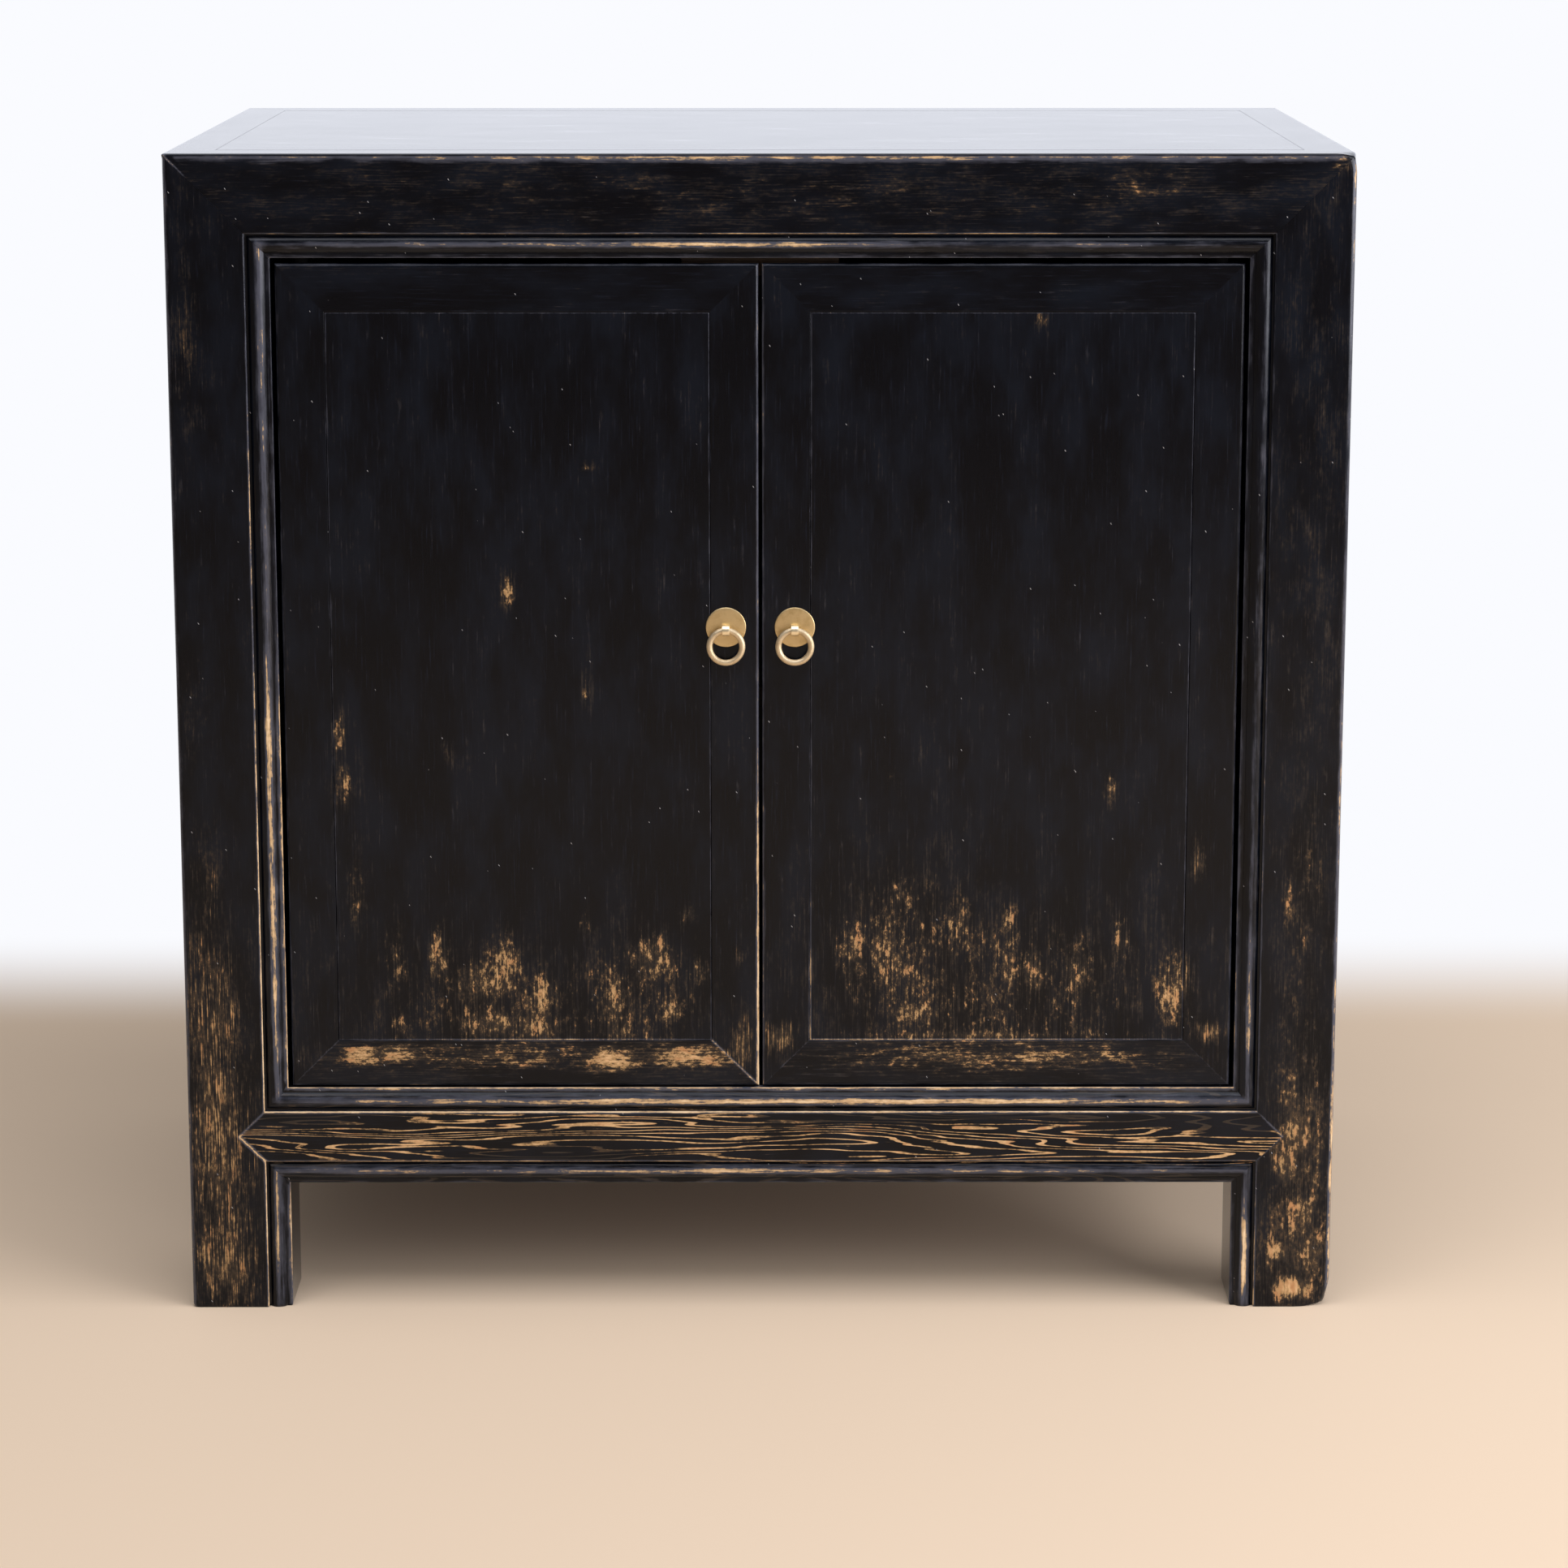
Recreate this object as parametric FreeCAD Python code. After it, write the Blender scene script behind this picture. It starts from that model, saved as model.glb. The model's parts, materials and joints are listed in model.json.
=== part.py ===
"""A two-door lacquered cabinet: mitred frame, floating panels, pivot doors and ring pulls.

Millimetres. The origin is on the floor under the middle of the cabinet, +Z is up and the doors face -Y.
"""

import FreeCAD, Part
import math
import os

from FreeCAD import Vector

# Overall size
width = 900.0
depth = 510.0
height = 912.0

# Frame members
leg_flat = 60.5
leg_depth = 60.0
back_leg_width = 60.0
top_frame_width = 36.0
outer_round = 4.0

# Moulding on the inner edges of the front frame: groove, half-round bead and fillet
groove_width = 1.5
groove_depth = 3.8
bead_width = 13.0
bead_crest_recess = 0.5
fillet_width = 4.0
fillet_recess = 4.0
ridge_round = 1.0

# Bottom rails
foot_gap = 102.0
bottom_rail_flat = 41.0
bottom_rail_depth = 40.0
plain_rail_thickness = 30.0
shoulder_depth = 12.0

# Frame joints
joint_clearance = 0.1
tenon_thickness = 12.0
tenon_length = 30.0
tenon_shoulder = 16.0
corner_tenon_inset = 10.0
corner_tenon_width = 11.0
corner_tenon_spacing = 2.0
corner_tenon_cover = 12.0
mitre_tenon_thickness = 5.0
mitre_tenon_cover = 4.8
stub_tenon = 10.0
stub_inset = 6.0

# Boards of the top, sides, back and floor
tongue_length = 8.0
tongue_thickness = 6.0
tongue_cover = 5.0
hairline_gap = 0.5
top_panel_thickness = 14.0
top_batten_width = 30.0
top_batten_height = 30.0
top_batten_spacing = 300.0
dovetail_depth = 4.0
dovetail_neck = 14.0
dovetail_flare = 2.0
side_panel_thickness = 10.0
side_panel_recess = 5.0
back_panel_thickness = 9.0
back_panel_recess = 9.0
back_mullion_width = 40.0
back_mullion_thickness = 17.0
floor_thickness = 14.0
floor_drop = 10.0
floor_board_count = 3
floor_batten_width = 40.0
floor_batten_height = 24.0

# Shelf
shelf_top = 490.0
shelf_thickness = 16.0
shelf_clearance = 1.0
bearer_height = 30.0
bearer_thickness = 24.0

# Doors
door_thickness = 22.0
door_recess = 6.5
door_side_gap = 3.0
door_top_gap = 4.4
door_bottom_gap = 0.8
door_centre_gap = 2.4
door_frame_width = 37.0
door_edge_round = 2.5
mitre_lap = 5.0
door_tenon_thickness = 8.0
door_tenon_length = 22.0
door_tongue_length = 7.0
door_panel_thickness = 14.0
door_batten_width = 24.0
door_batten_inset = 120.0
door_dovetail_depth = 3.0
pivot_diameter = 12.0
pivot_clearance = 0.05
top_pivot_bite = 10.0
bottom_pivot_bite = 3.4
pivot_end_clearance = 0.3
stop_length = 120.0
stop_drop = 16.0
stop_height = 44.0
stop_thickness = 12.0
stop_clearance = 0.3

# Ring pulls
pull_height = 548.0
pull_offset = 26.5
plate_diameter = 31.0
plate_thickness = 1.5
plate_edge_chamfer = 0.6
plate_gap = 0.2
ring_diameter = 30.0
ring_wire = 4.8
ring_facets = 8
eye_clearance = 0.7
eye_drop = 1.5
strap_width = 5.6
strap_thickness = 1.2
strap_split = 0.4
strap_tail = 12.0

# Worked out from the sizes above
left, right = -width / 2, width / 2
front, back = -depth / 2, depth / 2
mould_width = groove_width + bead_width + fillet_width
leg_width = leg_flat + mould_width
bottom_rail_height = bottom_rail_flat + 2 * mould_width
bottom_rail_top = foot_gap + bottom_rail_height
opening_left = left + leg_width
opening_top = height - leg_width
floor_top = bottom_rail_top - floor_drop
mitre_reach = leg_width + leg_depth + back_leg_width
door_left = opening_left + door_side_gap
door_right = -door_centre_gap / 2
door_bottom = bottom_rail_top + door_bottom_gap
door_top = opening_top - door_top_gap
door_front = front + door_recess
door_back = door_front + door_thickness
door_panel_back = door_front + door_panel_thickness
lap_back = door_front + mitre_lap
pivot_x = door_left + door_frame_width / 2
pivot_y = door_front + door_thickness / 2
strap_gauge = 2 * strap_thickness + strap_split
eye_inner = ring_wire / 2 + eye_clearance
eye_outer = eye_inner + strap_thickness
eye_height = pull_height - eye_drop
ring_y = door_front - plate_thickness - plate_gap - eye_outer
ring_pitch = (ring_diameter - ring_wire) / 2
SMALL = 0.001
LEFT, RIGHT, FRONT, BACK, DOWN, UP = -1, 1, -1, 1, -1, 1
SIDE_WAY, END_WAY, TOP_WAY = 0, 1, 2


def box(x0, x1, y0, y1, z0, z1):
    """A box between two values on each axis, given in either order."""
    x0, x1 = sorted((x0, x1))
    y0, y1 = sorted((y0, y1))
    z0, z1 = sorted((z0, z1))
    return Part.makeBox(x1 - x0, y1 - y0, z1 - z0, Vector(x0, y0, z0))


def pocket(plug, gap=joint_clearance):
    """The room that a tenon, tongue or post needs: its box with a clearance all round."""
    b = plug.BoundBox
    return box(b.XMin - gap, b.XMax + gap, b.YMin - gap, b.YMax + gap, b.ZMin - gap, b.ZMax + gap)


def prism(points, along):
    return Part.Face(Part.makePolygon(points + points[:1])).extrude(along)


def mirror(shape):
    return shape.mirror(Vector(0, 0, 0), Vector(1, 0, 0))


def one_solid(shape):
    clean = shape.removeSplitter()
    return clean.Solids[0] if len(clean.Solids) == 1 else clean


# Sections of the frame members
def round_steps(radius):
    """An arris softened by a quarter circle, walked from the side face to the flat face."""
    bend = radius * (1 - math.sqrt(0.5))
    return [("line", (0, radius)), ("arc", (bend, bend), (radius, 0))]


def bead_steps():
    """The moulded edge, walked from the inner arris over fillet, bead and groove to the flat face."""
    bend = ridge_round * (1 - math.sqrt(0.5))
    bead_end = fillet_width + bead_width
    return [
        ("line", (0, fillet_recess)),
        ("line", (fillet_width, fillet_recess)),
        ("arc", (fillet_width + bead_width / 2, bead_crest_recess), (bead_end, groove_depth)),
        ("line", (mould_width, groove_depth)),
        ("line", (mould_width, ridge_round)),
        ("arc", (mould_width + bend, bend), (mould_width + ridge_round, 0)),
    ]


def square_steps():
    return [("line", (0, 0))]


def walked_back(steps, start, across):
    """The same edge for the far side of a member: walked backwards and flipped across its width."""
    points = [start] + [step[-1] for step in steps]
    flipped = []
    for i in range(len(steps) - 1, -1, -1):
        end = (across - points[i][0], points[i][1])
        if steps[i][0] == "arc":
            middle = steps[i][1]
            flipped.append(("arc", (across - middle[0], middle[1]), end))
        else:
            flipped.append(("line", end))
    return flipped


def section(across, thick, near, far, place):
    """A member's section: shaped near and far edges on its face, a square back, placed by a function."""
    steps = near + [("line", (across - far[-1][-1][0], 0))]
    steps += walked_back(far, (0, thick), across)
    steps += [("line", (0, thick))]
    here = (0, thick)
    edges = []
    for step in steps:
        start, end = place(*here), place(*step[-1])
        if step[0] == "arc":
            edges.append(Part.Arc(start, place(*step[1]), end).toShape())
        elif (end - start).Length > SMALL:
            edges.append(Part.makeLine(start, end))
        here = step[-1]
    return Part.Face(Part.Wire(edges))


# Corners of the top frame: a point is told by its distances from the side, the front or back, and the top
def corner_point(side, end, abc):
    return Vector(side * (width / 2 - abc[0]), end * (depth / 2 - abc[1]), height - abc[2])


def corner_box(side, end, a, b, c):
    p = corner_point(side, end, (a[0], b[0], c[0]))
    q = corner_point(side, end, (a[1], b[1], c[1]))
    return box(p.x, q.x, p.y, q.y, p.z, q.z)


def corner_wedge(side, end, less, more, reach=mitre_reach):
    """The part of a corner where one distance is less than another: what a mitre takes away."""
    third = 3 - less - more
    low, high = -outer_round, mitre_reach
    corners = []
    for small, large in ((low, low), (low, high), (high, high)):
        abc = [low, low, low]
        abc[less] = small
        abc[more] = large
        corners.append(corner_point(side, end, abc))
    far = [low, low, low]
    far[third] = reach
    return prism(corners, corner_point(side, end, far) - corner_point(side, end, (low, low, low)))


def leg_tenons(side, end):
    """The two tenons on a leg's mitred head, one into the front or back rail and one into the side rail."""
    near = (corner_tenon_inset, corner_tenon_inset + corner_tenon_width)
    start = near[1] + corner_tenon_spacing
    far = (start, start + corner_tenon_width)
    reach = (corner_tenon_cover, far[1] + corner_tenon_cover)
    into_end_rail = corner_box(side, end, far, near, reach)
    into_side_rail = corner_box(side, end, near, far, reach)
    return into_end_rail, into_side_rail


def mitre_tenon(side, end):
    """The flat tenon of the front or back rail in the side rail, above the leg's tenons."""
    low = corner_tenon_inset
    near = low + corner_tenon_width / 3
    far = near + tenon_thickness
    top = mitre_tenon_cover
    return corner_box(side, end, (low, far + stub_tenon), (near, far), (top, top + mitre_tenon_thickness))


def top_tongue():
    """The room that the top board's tongue takes in the grooves of the top frame."""
    inset = top_frame_width - tongue_length
    z = height - tongue_cover
    return box(left + inset, right - inset, front + inset, back - inset, z - tongue_thickness, z)


def batten_x(side):
    return side * top_batten_spacing / 2


def top_batten_tenon(side, end):
    y = end * (depth / 2 - top_frame_width)
    x = batten_x(side)
    z = height - top_panel_thickness
    half = top_batten_width / 2 - stub_inset
    z0, z1 = z - top_batten_height + stub_inset, z - stub_inset
    return box(x - half, x + half, y, y + end * stub_tenon, z0, z1)


def leg_head(leg, side, end):
    """Cuts a leg's top to the three-way mitre and stands its tenons on it. The core carries the top board."""
    past = (top_frame_width, mitre_reach)
    tools = [
        corner_wedge(side, end, TOP_WAY, SIDE_WAY, top_frame_width),
        corner_wedge(side, end, TOP_WAY, END_WAY, top_frame_width),
        corner_box(side, end, past, past, (-outer_round, top_panel_thickness)),
    ]
    return leg.cut(tools).fuse(list(leg_tenons(side, end)))


# Tenons of the bottom rails
def side_rail_tenon(side, end):
    x = side * (width / 2 - tenon_thickness)
    y = end * (depth / 2 - leg_depth)
    z0, z1 = foot_gap + tenon_shoulder, bottom_rail_top - tenon_shoulder
    return box(x, x - side * tenon_thickness, y, y + end * (tenon_length - stub_inset), z0, z1)


def front_rail_tenon(side):
    x = side * (width / 2 - leg_width)
    y = front + shoulder_depth + stub_inset
    z0, z1 = foot_gap + tenon_shoulder, bottom_rail_top - tenon_shoulder
    return box(x, x + side * tenon_length, y, y + tenon_thickness, z0, z1)


def back_rail_tenon(side):
    x = side * (width / 2 - back_leg_width)
    y = back - stub_inset
    z0, z1 = foot_gap + tenon_shoulder, bottom_rail_top - tenon_shoulder
    return box(x, x + side * tenon_length, y, y - tenon_thickness, z0, z1)


def rail_point(x_far):
    """The pointed end of the bottom front rail seen from the front: a 45 degree arrow into the leg."""
    half = bottom_rail_height / 2
    points = [
        Vector(opening_left - half, front, foot_gap + half),
        Vector(opening_left, front, bottom_rail_top),
        Vector(x_far, front, bottom_rail_top),
        Vector(x_far, front, foot_gap),
        Vector(opening_left, front, foot_gap),
    ]
    return prism(points, Vector(0, shoulder_depth, 0))


# Boards in their grooves
def side_panel():
    """The left side board, captured in the legs and the side rails."""
    x = left + side_panel_recess
    y = depth / 2 - leg_depth + tongue_length
    top = height - leg_depth + tongue_length
    return box(x, x + side_panel_thickness, -y, y, bottom_rail_top - tongue_length, top)


def back_panel():
    """The left back board, captured in the leg, the mullion and the back rails."""
    x0 = left + back_leg_width - tongue_length
    x1 = -back_mullion_width / 2 + tongue_length
    y = back - back_panel_recess
    top = height - back_leg_width + tongue_length
    return box(x0, x1, y - back_panel_thickness, y, bottom_rail_top - tongue_length, top)


def mullion_tenon(way):
    half = back_mullion_width / 2 - tongue_length - stub_inset / 2
    y = back - back_panel_recess
    z = bottom_rail_top if way == DOWN else height - back_leg_width
    return box(-half, half, y - back_panel_thickness, y, z, z + way * stub_tenon)


def floor_tongue():
    """The room that the floor boards' tongues take in the grooves of the bottom rails."""
    x = width / 2 - plain_rail_thickness + tongue_length
    y0 = front + bottom_rail_depth - tongue_length
    y1 = back - plain_rail_thickness + tongue_length
    z = floor_top - (floor_thickness - tongue_thickness) / 2
    return box(-x, x, y0, y1, z - tongue_thickness, z)


def floor_batten_tenon(end):
    y = front + bottom_rail_depth if end == FRONT else back - plain_rail_thickness
    z = floor_top - floor_thickness
    half = floor_batten_width / 2 - stub_inset
    return box(-half, half, y, y + end * stub_tenon, z - floor_batten_height + stub_inset, z - stub_inset)


def bearer_bar():
    x = left + side_panel_recess + side_panel_thickness + joint_clearance
    y = depth / 2 - leg_depth
    z = shelf_top - shelf_thickness
    return box(x, x + bearer_thickness, -y, y, z - bearer_height, z)


def bearer_tenon(end):
    b = bearer_bar().BoundBox
    y = end * (depth / 2 - leg_depth)
    inset = stub_inset
    return box(b.XMin + inset, b.XMax - inset, y, y + end * stub_tenon, b.ZMin + inset, b.ZMax - inset)


def socket(z0, z1):
    return Part.makeCylinder(pivot_diameter / 2 + pivot_clearance, z1 - z0, Vector(pivot_x, pivot_y, z0))


# Carcass pieces. Those that come in pairs are drawn for the left
def front_leg():
    """A front leg: moulded on its inner edge, mitred at the top and notched for the rail's point."""
    face = section(
        leg_width,
        leg_depth,
        round_steps(outer_round),
        bead_steps(),
        lambda u, v: Vector(left + u, front + v, 0),
    )
    leg = leg_head(face.extrude(Vector(0, 0, height)), LEFT, FRONT)
    rooms = [front_rail_tenon(LEFT), side_rail_tenon(LEFT, FRONT), side_panel(), bearer_tenon(FRONT)]
    return one_solid(leg.cut([pocket(room) for room in rooms] + [rail_point(0)]))


def back_leg():
    """A back leg: plain, with its outer arris rounded."""
    face = section(
        back_leg_width,
        leg_depth,
        round_steps(outer_round),
        square_steps(),
        lambda u, v: Vector(left + u, back - v, 0),
    )
    leg = leg_head(face.extrude(Vector(0, 0, height)), LEFT, BACK)
    rooms = [back_rail_tenon(LEFT), side_rail_tenon(LEFT, BACK), side_panel(), back_panel()]
    rooms.append(bearer_tenon(BACK))
    return one_solid(leg.cut([pocket(room) for room in rooms]))


def end_rail(end):
    """The front or back member of the top frame. The front one is moulded on its lower edge."""
    tall = leg_width if end == FRONT else back_leg_width
    lower = bead_steps() if end == FRONT else square_steps()
    face = section(
        tall,
        top_frame_width,
        round_steps(outer_round),
        lower,
        lambda u, v: Vector(left, end * (depth / 2 - v), height - u),
    )
    rail = face.extrude(Vector(width, 0, 0))
    for side in (LEFT, RIGHT):
        rail = rail.cut([corner_wedge(side, end, SIDE_WAY, way) for way in (TOP_WAY, END_WAY)])
        rail = rail.fuse(mitre_tenon(side, end))
        rail = rail.cut([pocket(leg_tenons(side, end)[0]), pocket(top_batten_tenon(side, end))])
    rooms = [pocket(top_tongue())]
    if end == FRONT:
        hole = socket(opening_top - fillet_recess, opening_top + top_pivot_bite + door_top_gap)
        rooms += [hole, mirror(hole)]
    else:
        rooms += [pocket(back_panel()), pocket(mirror(back_panel())), pocket(mullion_tenon(UP))]
    return one_solid(rail.cut(rooms))


def side_rail():
    """A side member of the top frame, as high as the leg is deep so that its mitre ends in the corner."""
    face = section(
        leg_depth,
        top_frame_width,
        round_steps(outer_round),
        square_steps(),
        lambda u, v: Vector(left + v, front, height - u),
    )
    rail = face.extrude(Vector(0, depth, 0))
    rooms = [pocket(top_tongue()), pocket(side_panel())]
    for end in (FRONT, BACK):
        rooms += [corner_wedge(LEFT, end, END_WAY, SIDE_WAY), corner_wedge(LEFT, end, END_WAY, TOP_WAY)]
        rooms += [pocket(leg_tenons(LEFT, end)[1]), pocket(mitre_tenon(LEFT, end))]
    return one_solid(rail.cut(rooms))


def top_dovetail(y0, y1, gap=0.0):
    """The ridge of the left top batten, or with a gap the groove that takes it in the top board."""
    x = batten_x(LEFT)
    z = height - top_panel_thickness
    neck = dovetail_neck / 2 + gap
    head = neck + dovetail_flare
    points = [
        Vector(x - neck, y0, z),
        Vector(x - head, y0, z + dovetail_depth + gap),
        Vector(x + head, y0, z + dovetail_depth + gap),
        Vector(x + neck, y0, z),
    ]
    return prism(points, Vector(0, y1 - y0, 0))


def top_panel():
    """The flush top board, tongued into the frame and grooved below for its two battens."""
    inset = top_frame_width + hairline_gap
    z = height - top_panel_thickness
    board = box(left + inset, right - inset, front + inset, back - inset, z, height)
    groove = top_dovetail(front, back, joint_clearance)
    return one_solid(board.fuse(top_tongue()).cut([groove, mirror(groove)]))


def top_batten():
    """A batten that keeps the top board flat: dovetailed into it and tenoned into the rails."""
    x, half = batten_x(LEFT), top_batten_width / 2
    y = depth / 2 - top_frame_width
    z = height - top_panel_thickness
    batten = box(x - half, x + half, -y, y, z - top_batten_height, z)
    ridge = top_dovetail(-y + hairline_gap, y - hairline_gap)
    return one_solid(batten.fuse([ridge, top_batten_tenon(LEFT, FRONT), top_batten_tenon(LEFT, BACK)]))


def bottom_front_rail():
    """The bottom front rail: moulded on both edges, with pointed shoulders lapped over the legs."""
    face = section(
        bottom_rail_height,
        bottom_rail_depth,
        bead_steps(),
        bead_steps(),
        lambda u, v: Vector(left, front + v, foot_gap + u),
    )
    bar = face.extrude(Vector(width, 0, 0))
    point = rail_point(0)
    body = box(opening_left, -opening_left, front, front + bottom_rail_depth, foot_gap, bottom_rail_top)
    rail = bar.common(body.fuse([point, mirror(point)]))
    rail = rail.fuse([front_rail_tenon(LEFT), front_rail_tenon(RIGHT)])
    hole = socket(bottom_rail_top - bottom_pivot_bite - pivot_end_clearance, bottom_rail_top + fillet_recess)
    rooms = [hole, mirror(hole), pocket(floor_tongue()), pocket(floor_batten_tenon(FRONT))]
    return one_solid(rail.cut(rooms))


def bottom_back_rail():
    x = width / 2 - back_leg_width
    rail = box(-x, x, back - plain_rail_thickness, back, foot_gap, bottom_rail_top)
    rail = rail.fuse([back_rail_tenon(LEFT), back_rail_tenon(RIGHT)])
    rooms = [floor_tongue(), floor_batten_tenon(BACK), mullion_tenon(DOWN)]
    rooms += [back_panel(), mirror(back_panel())]
    return one_solid(rail.cut([pocket(room) for room in rooms]))


def bottom_side_rail():
    y = depth / 2 - leg_depth
    rail = box(left, left + plain_rail_thickness, -y, y, foot_gap, bottom_rail_top)
    rail = rail.fuse([side_rail_tenon(LEFT, FRONT), side_rail_tenon(LEFT, BACK)])
    return one_solid(rail.cut([pocket(floor_tongue()), pocket(side_panel())]))


def floor_boards():
    """Boards laid from side to side, rebated together, tongued at the rails and notched round the legs."""
    x = width / 2 - plain_rail_thickness - hairline_gap
    y0 = front + bottom_rail_depth + hairline_gap
    y1 = back - plain_rail_thickness - hairline_gap
    whole = box(-x, x, y0, y1, floor_top - floor_thickness, floor_top).fuse(floor_tongue())
    posts = []
    for side in (LEFT, RIGHT):
        for end, wide in ((FRONT, leg_width), (BACK, back_leg_width)):
            foot = corner_box(side, end, (0, wide), (0, leg_depth), (0, height))
            posts.append(pocket(foot, hairline_gap))
    whole = whole.cut(posts)
    room = floor_tongue().BoundBox
    pitch = (room.YMax - room.YMin) / floor_board_count
    half_way = floor_top - floor_thickness / 2
    boards = []
    for i in range(floor_board_count):
        start = room.YMin + i * pitch
        end = start + pitch
        low_start = start + tongue_length + hairline_gap if i > 0 else start
        low_end = end + tongue_length if i < floor_board_count - 1 else end
        high_end = end - hairline_gap if i < floor_board_count - 1 else end
        upper = box(left, right, start, high_end, half_way, height)
        lower = box(left, right, low_start, low_end, 0, half_way)
        boards.append(one_solid(whole.common(upper.fuse(lower))))
    return boards


def floor_batten():
    """The batten under the floor boards, tenoned into the front and back rails."""
    z = floor_top - floor_thickness
    half = floor_batten_width / 2
    y0, y1 = front + bottom_rail_depth, back - plain_rail_thickness
    batten = box(-half, half, y0, y1, z - floor_batten_height, z)
    return one_solid(batten.fuse([floor_batten_tenon(FRONT), floor_batten_tenon(BACK)]))


def back_mullion():
    """The upright between the two back boards."""
    y = back - back_panel_recess - back_panel_thickness / 2
    half, thick = back_mullion_width / 2, back_mullion_thickness / 2
    bar = box(-half, half, y - thick, y + thick, bottom_rail_top, height - back_leg_width)
    bar = bar.fuse([mullion_tenon(DOWN), mullion_tenon(UP)])
    return one_solid(bar.cut([pocket(back_panel()), pocket(mirror(back_panel()))]))


def shelf():
    x = width / 2 - side_panel_recess - side_panel_thickness - shelf_clearance
    y = depth / 2 - leg_depth - shelf_clearance
    return box(-x, x, -y, y, shelf_top - shelf_thickness, shelf_top)


def shelf_bearer():
    return one_solid(bearer_bar().fuse([bearer_tenon(FRONT), bearer_tenon(BACK)]))


def door_stop():
    """A rebated block on the top rail that the closed doors come to rest on."""
    rail_back = front + top_frame_width
    low = opening_top - stop_drop
    outline = [
        (door_back + stop_clearance, low),
        (rail_back + stop_thickness, low),
        (rail_back + stop_thickness, low + stop_height),
        (rail_back, low + stop_height),
        (rail_back, opening_top),
        (door_back + stop_clearance, opening_top),
    ]
    return prism([Vector(-stop_length / 2, y, z) for y, z in outline], Vector(stop_length, 0, 0))


# The left door. Each side is told by its outer edge and the way inwards, and so is each end
DOOR_SIDES = ((door_left, 1), (door_right, -1))
DOOR_ENDS = ((door_bottom, 1), (door_top, -1))


def door_mitre(x_outer, x_way, z_outer, z_way):
    """The triangle of a door corner that belongs to the rail, in the layer in front of the lap."""
    x_inner = x_outer + x_way * door_frame_width
    outline = [(x_outer, z_outer), (x_inner, z_outer), (x_inner, z_outer + z_way * door_frame_width)]
    return prism([Vector(x, door_front, z) for x, z in outline], Vector(0, mitre_lap, 0))


def door_tongue():
    inset = door_frame_width - door_tongue_length
    y = lap_back + tongue_thickness
    return box(door_left + inset, door_right - inset, lap_back, y, door_bottom + inset, door_top - inset)


def door_rail_tenon(x_outer, x_way, z_outer, z_way):
    x = x_outer + x_way * door_frame_width
    z0 = z_outer + z_way * stub_inset
    z1 = z_outer + z_way * (door_frame_width - door_tongue_length - stub_inset / 2)
    y = (lap_back + door_back - door_tenon_thickness) / 2
    return box(x, x - x_way * door_tenon_length, y, y + door_tenon_thickness, z0, z1)


def door_batten_heights():
    return door_bottom + door_batten_inset, door_top - door_batten_inset


def door_batten_tenon(x_outer, x_way, z):
    x = x_outer + x_way * door_frame_width
    half = door_batten_width / 2 - stub_inset
    inset = (door_back - door_panel_back) / 4
    return box(x, x - x_way * stub_tenon, door_panel_back + inset, door_back - inset, z - half, z + half)


def door_stile(x_outer, x_way):
    """A stile, full height behind its mitred face. The one by the leg carries the two pivots."""
    face = section(
        door_frame_width,
        door_thickness,
        round_steps(door_edge_round),
        square_steps(),
        lambda u, v: Vector(x_outer + x_way * u, door_front + v, door_bottom),
    )
    stile = face.extrude(Vector(0, 0, door_top - door_bottom))
    rooms = [pocket(door_tongue())]
    for z_outer, z_way in DOOR_ENDS:
        rooms.append(door_mitre(x_outer, x_way, z_outer, z_way))
        rooms.append(pocket(door_rail_tenon(x_outer, x_way, z_outer, z_way)))
    rooms += [pocket(door_batten_tenon(x_outer, x_way, z)) for z in door_batten_heights()]
    stile = stile.cut(rooms)
    if x_way == -1:
        return one_solid(stile.cut(pocket(strap_legs())))
    low = door_bottom_gap + bottom_pivot_bite
    high = door_top_gap + top_pivot_bite
    radius = pivot_diameter / 2
    pins = [
        Part.makeCylinder(radius, low, Vector(pivot_x, pivot_y, door_bottom - low)),
        Part.makeCylinder(radius, high, Vector(pivot_x, pivot_y, door_top)),
    ]
    return one_solid(stile.fuse(pins))


def door_rail(z_outer, z_way):
    """A rail: mitred in front, butted behind and tenoned into both stiles."""
    face = section(
        door_frame_width,
        door_thickness,
        round_steps(door_edge_round),
        square_steps(),
        lambda u, v: Vector(door_left, door_front + v, z_outer + z_way * u),
    )
    bar = face.extrude(Vector(door_right - door_left, 0, 0))
    x0, x1 = door_left + door_frame_width, door_right - door_frame_width
    body = box(x0, x1, door_front, door_back, door_bottom, door_top)
    body = body.fuse([door_mitre(x, way, z_outer, z_way) for x, way in DOOR_SIDES])
    tenons = [door_rail_tenon(x, way, z_outer, z_way) for x, way in DOOR_SIDES]
    return one_solid(bar.common(body).fuse(tenons).cut(pocket(door_tongue())))


def door_dovetail(z, gap=0.0):
    """The ridge of a door batten, or with a gap the groove that takes it in the panel."""
    x = door_left + door_frame_width + hairline_gap
    far = door_right - door_frame_width - hairline_gap
    neck = door_batten_width / 4 + gap
    head = neck + dovetail_flare
    y = door_panel_back - door_dovetail_depth - gap
    outline = [(door_panel_back, z - neck), (y, z - head), (y, z + head), (door_panel_back, z + neck)]
    return prism([Vector(x, y, z) for y, z in outline], Vector(far - x, 0, 0))


def door_panel():
    """The flush door panel, free to move in its grooves."""
    inset = door_frame_width + hairline_gap
    x0, x1 = door_left + inset, door_right - inset
    board = box(x0, x1, door_front, door_panel_back, door_bottom + inset, door_top - inset)
    grooves = [door_dovetail(z, joint_clearance) for z in door_batten_heights()]
    return one_solid(board.fuse(door_tongue()).cut(grooves))


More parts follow.
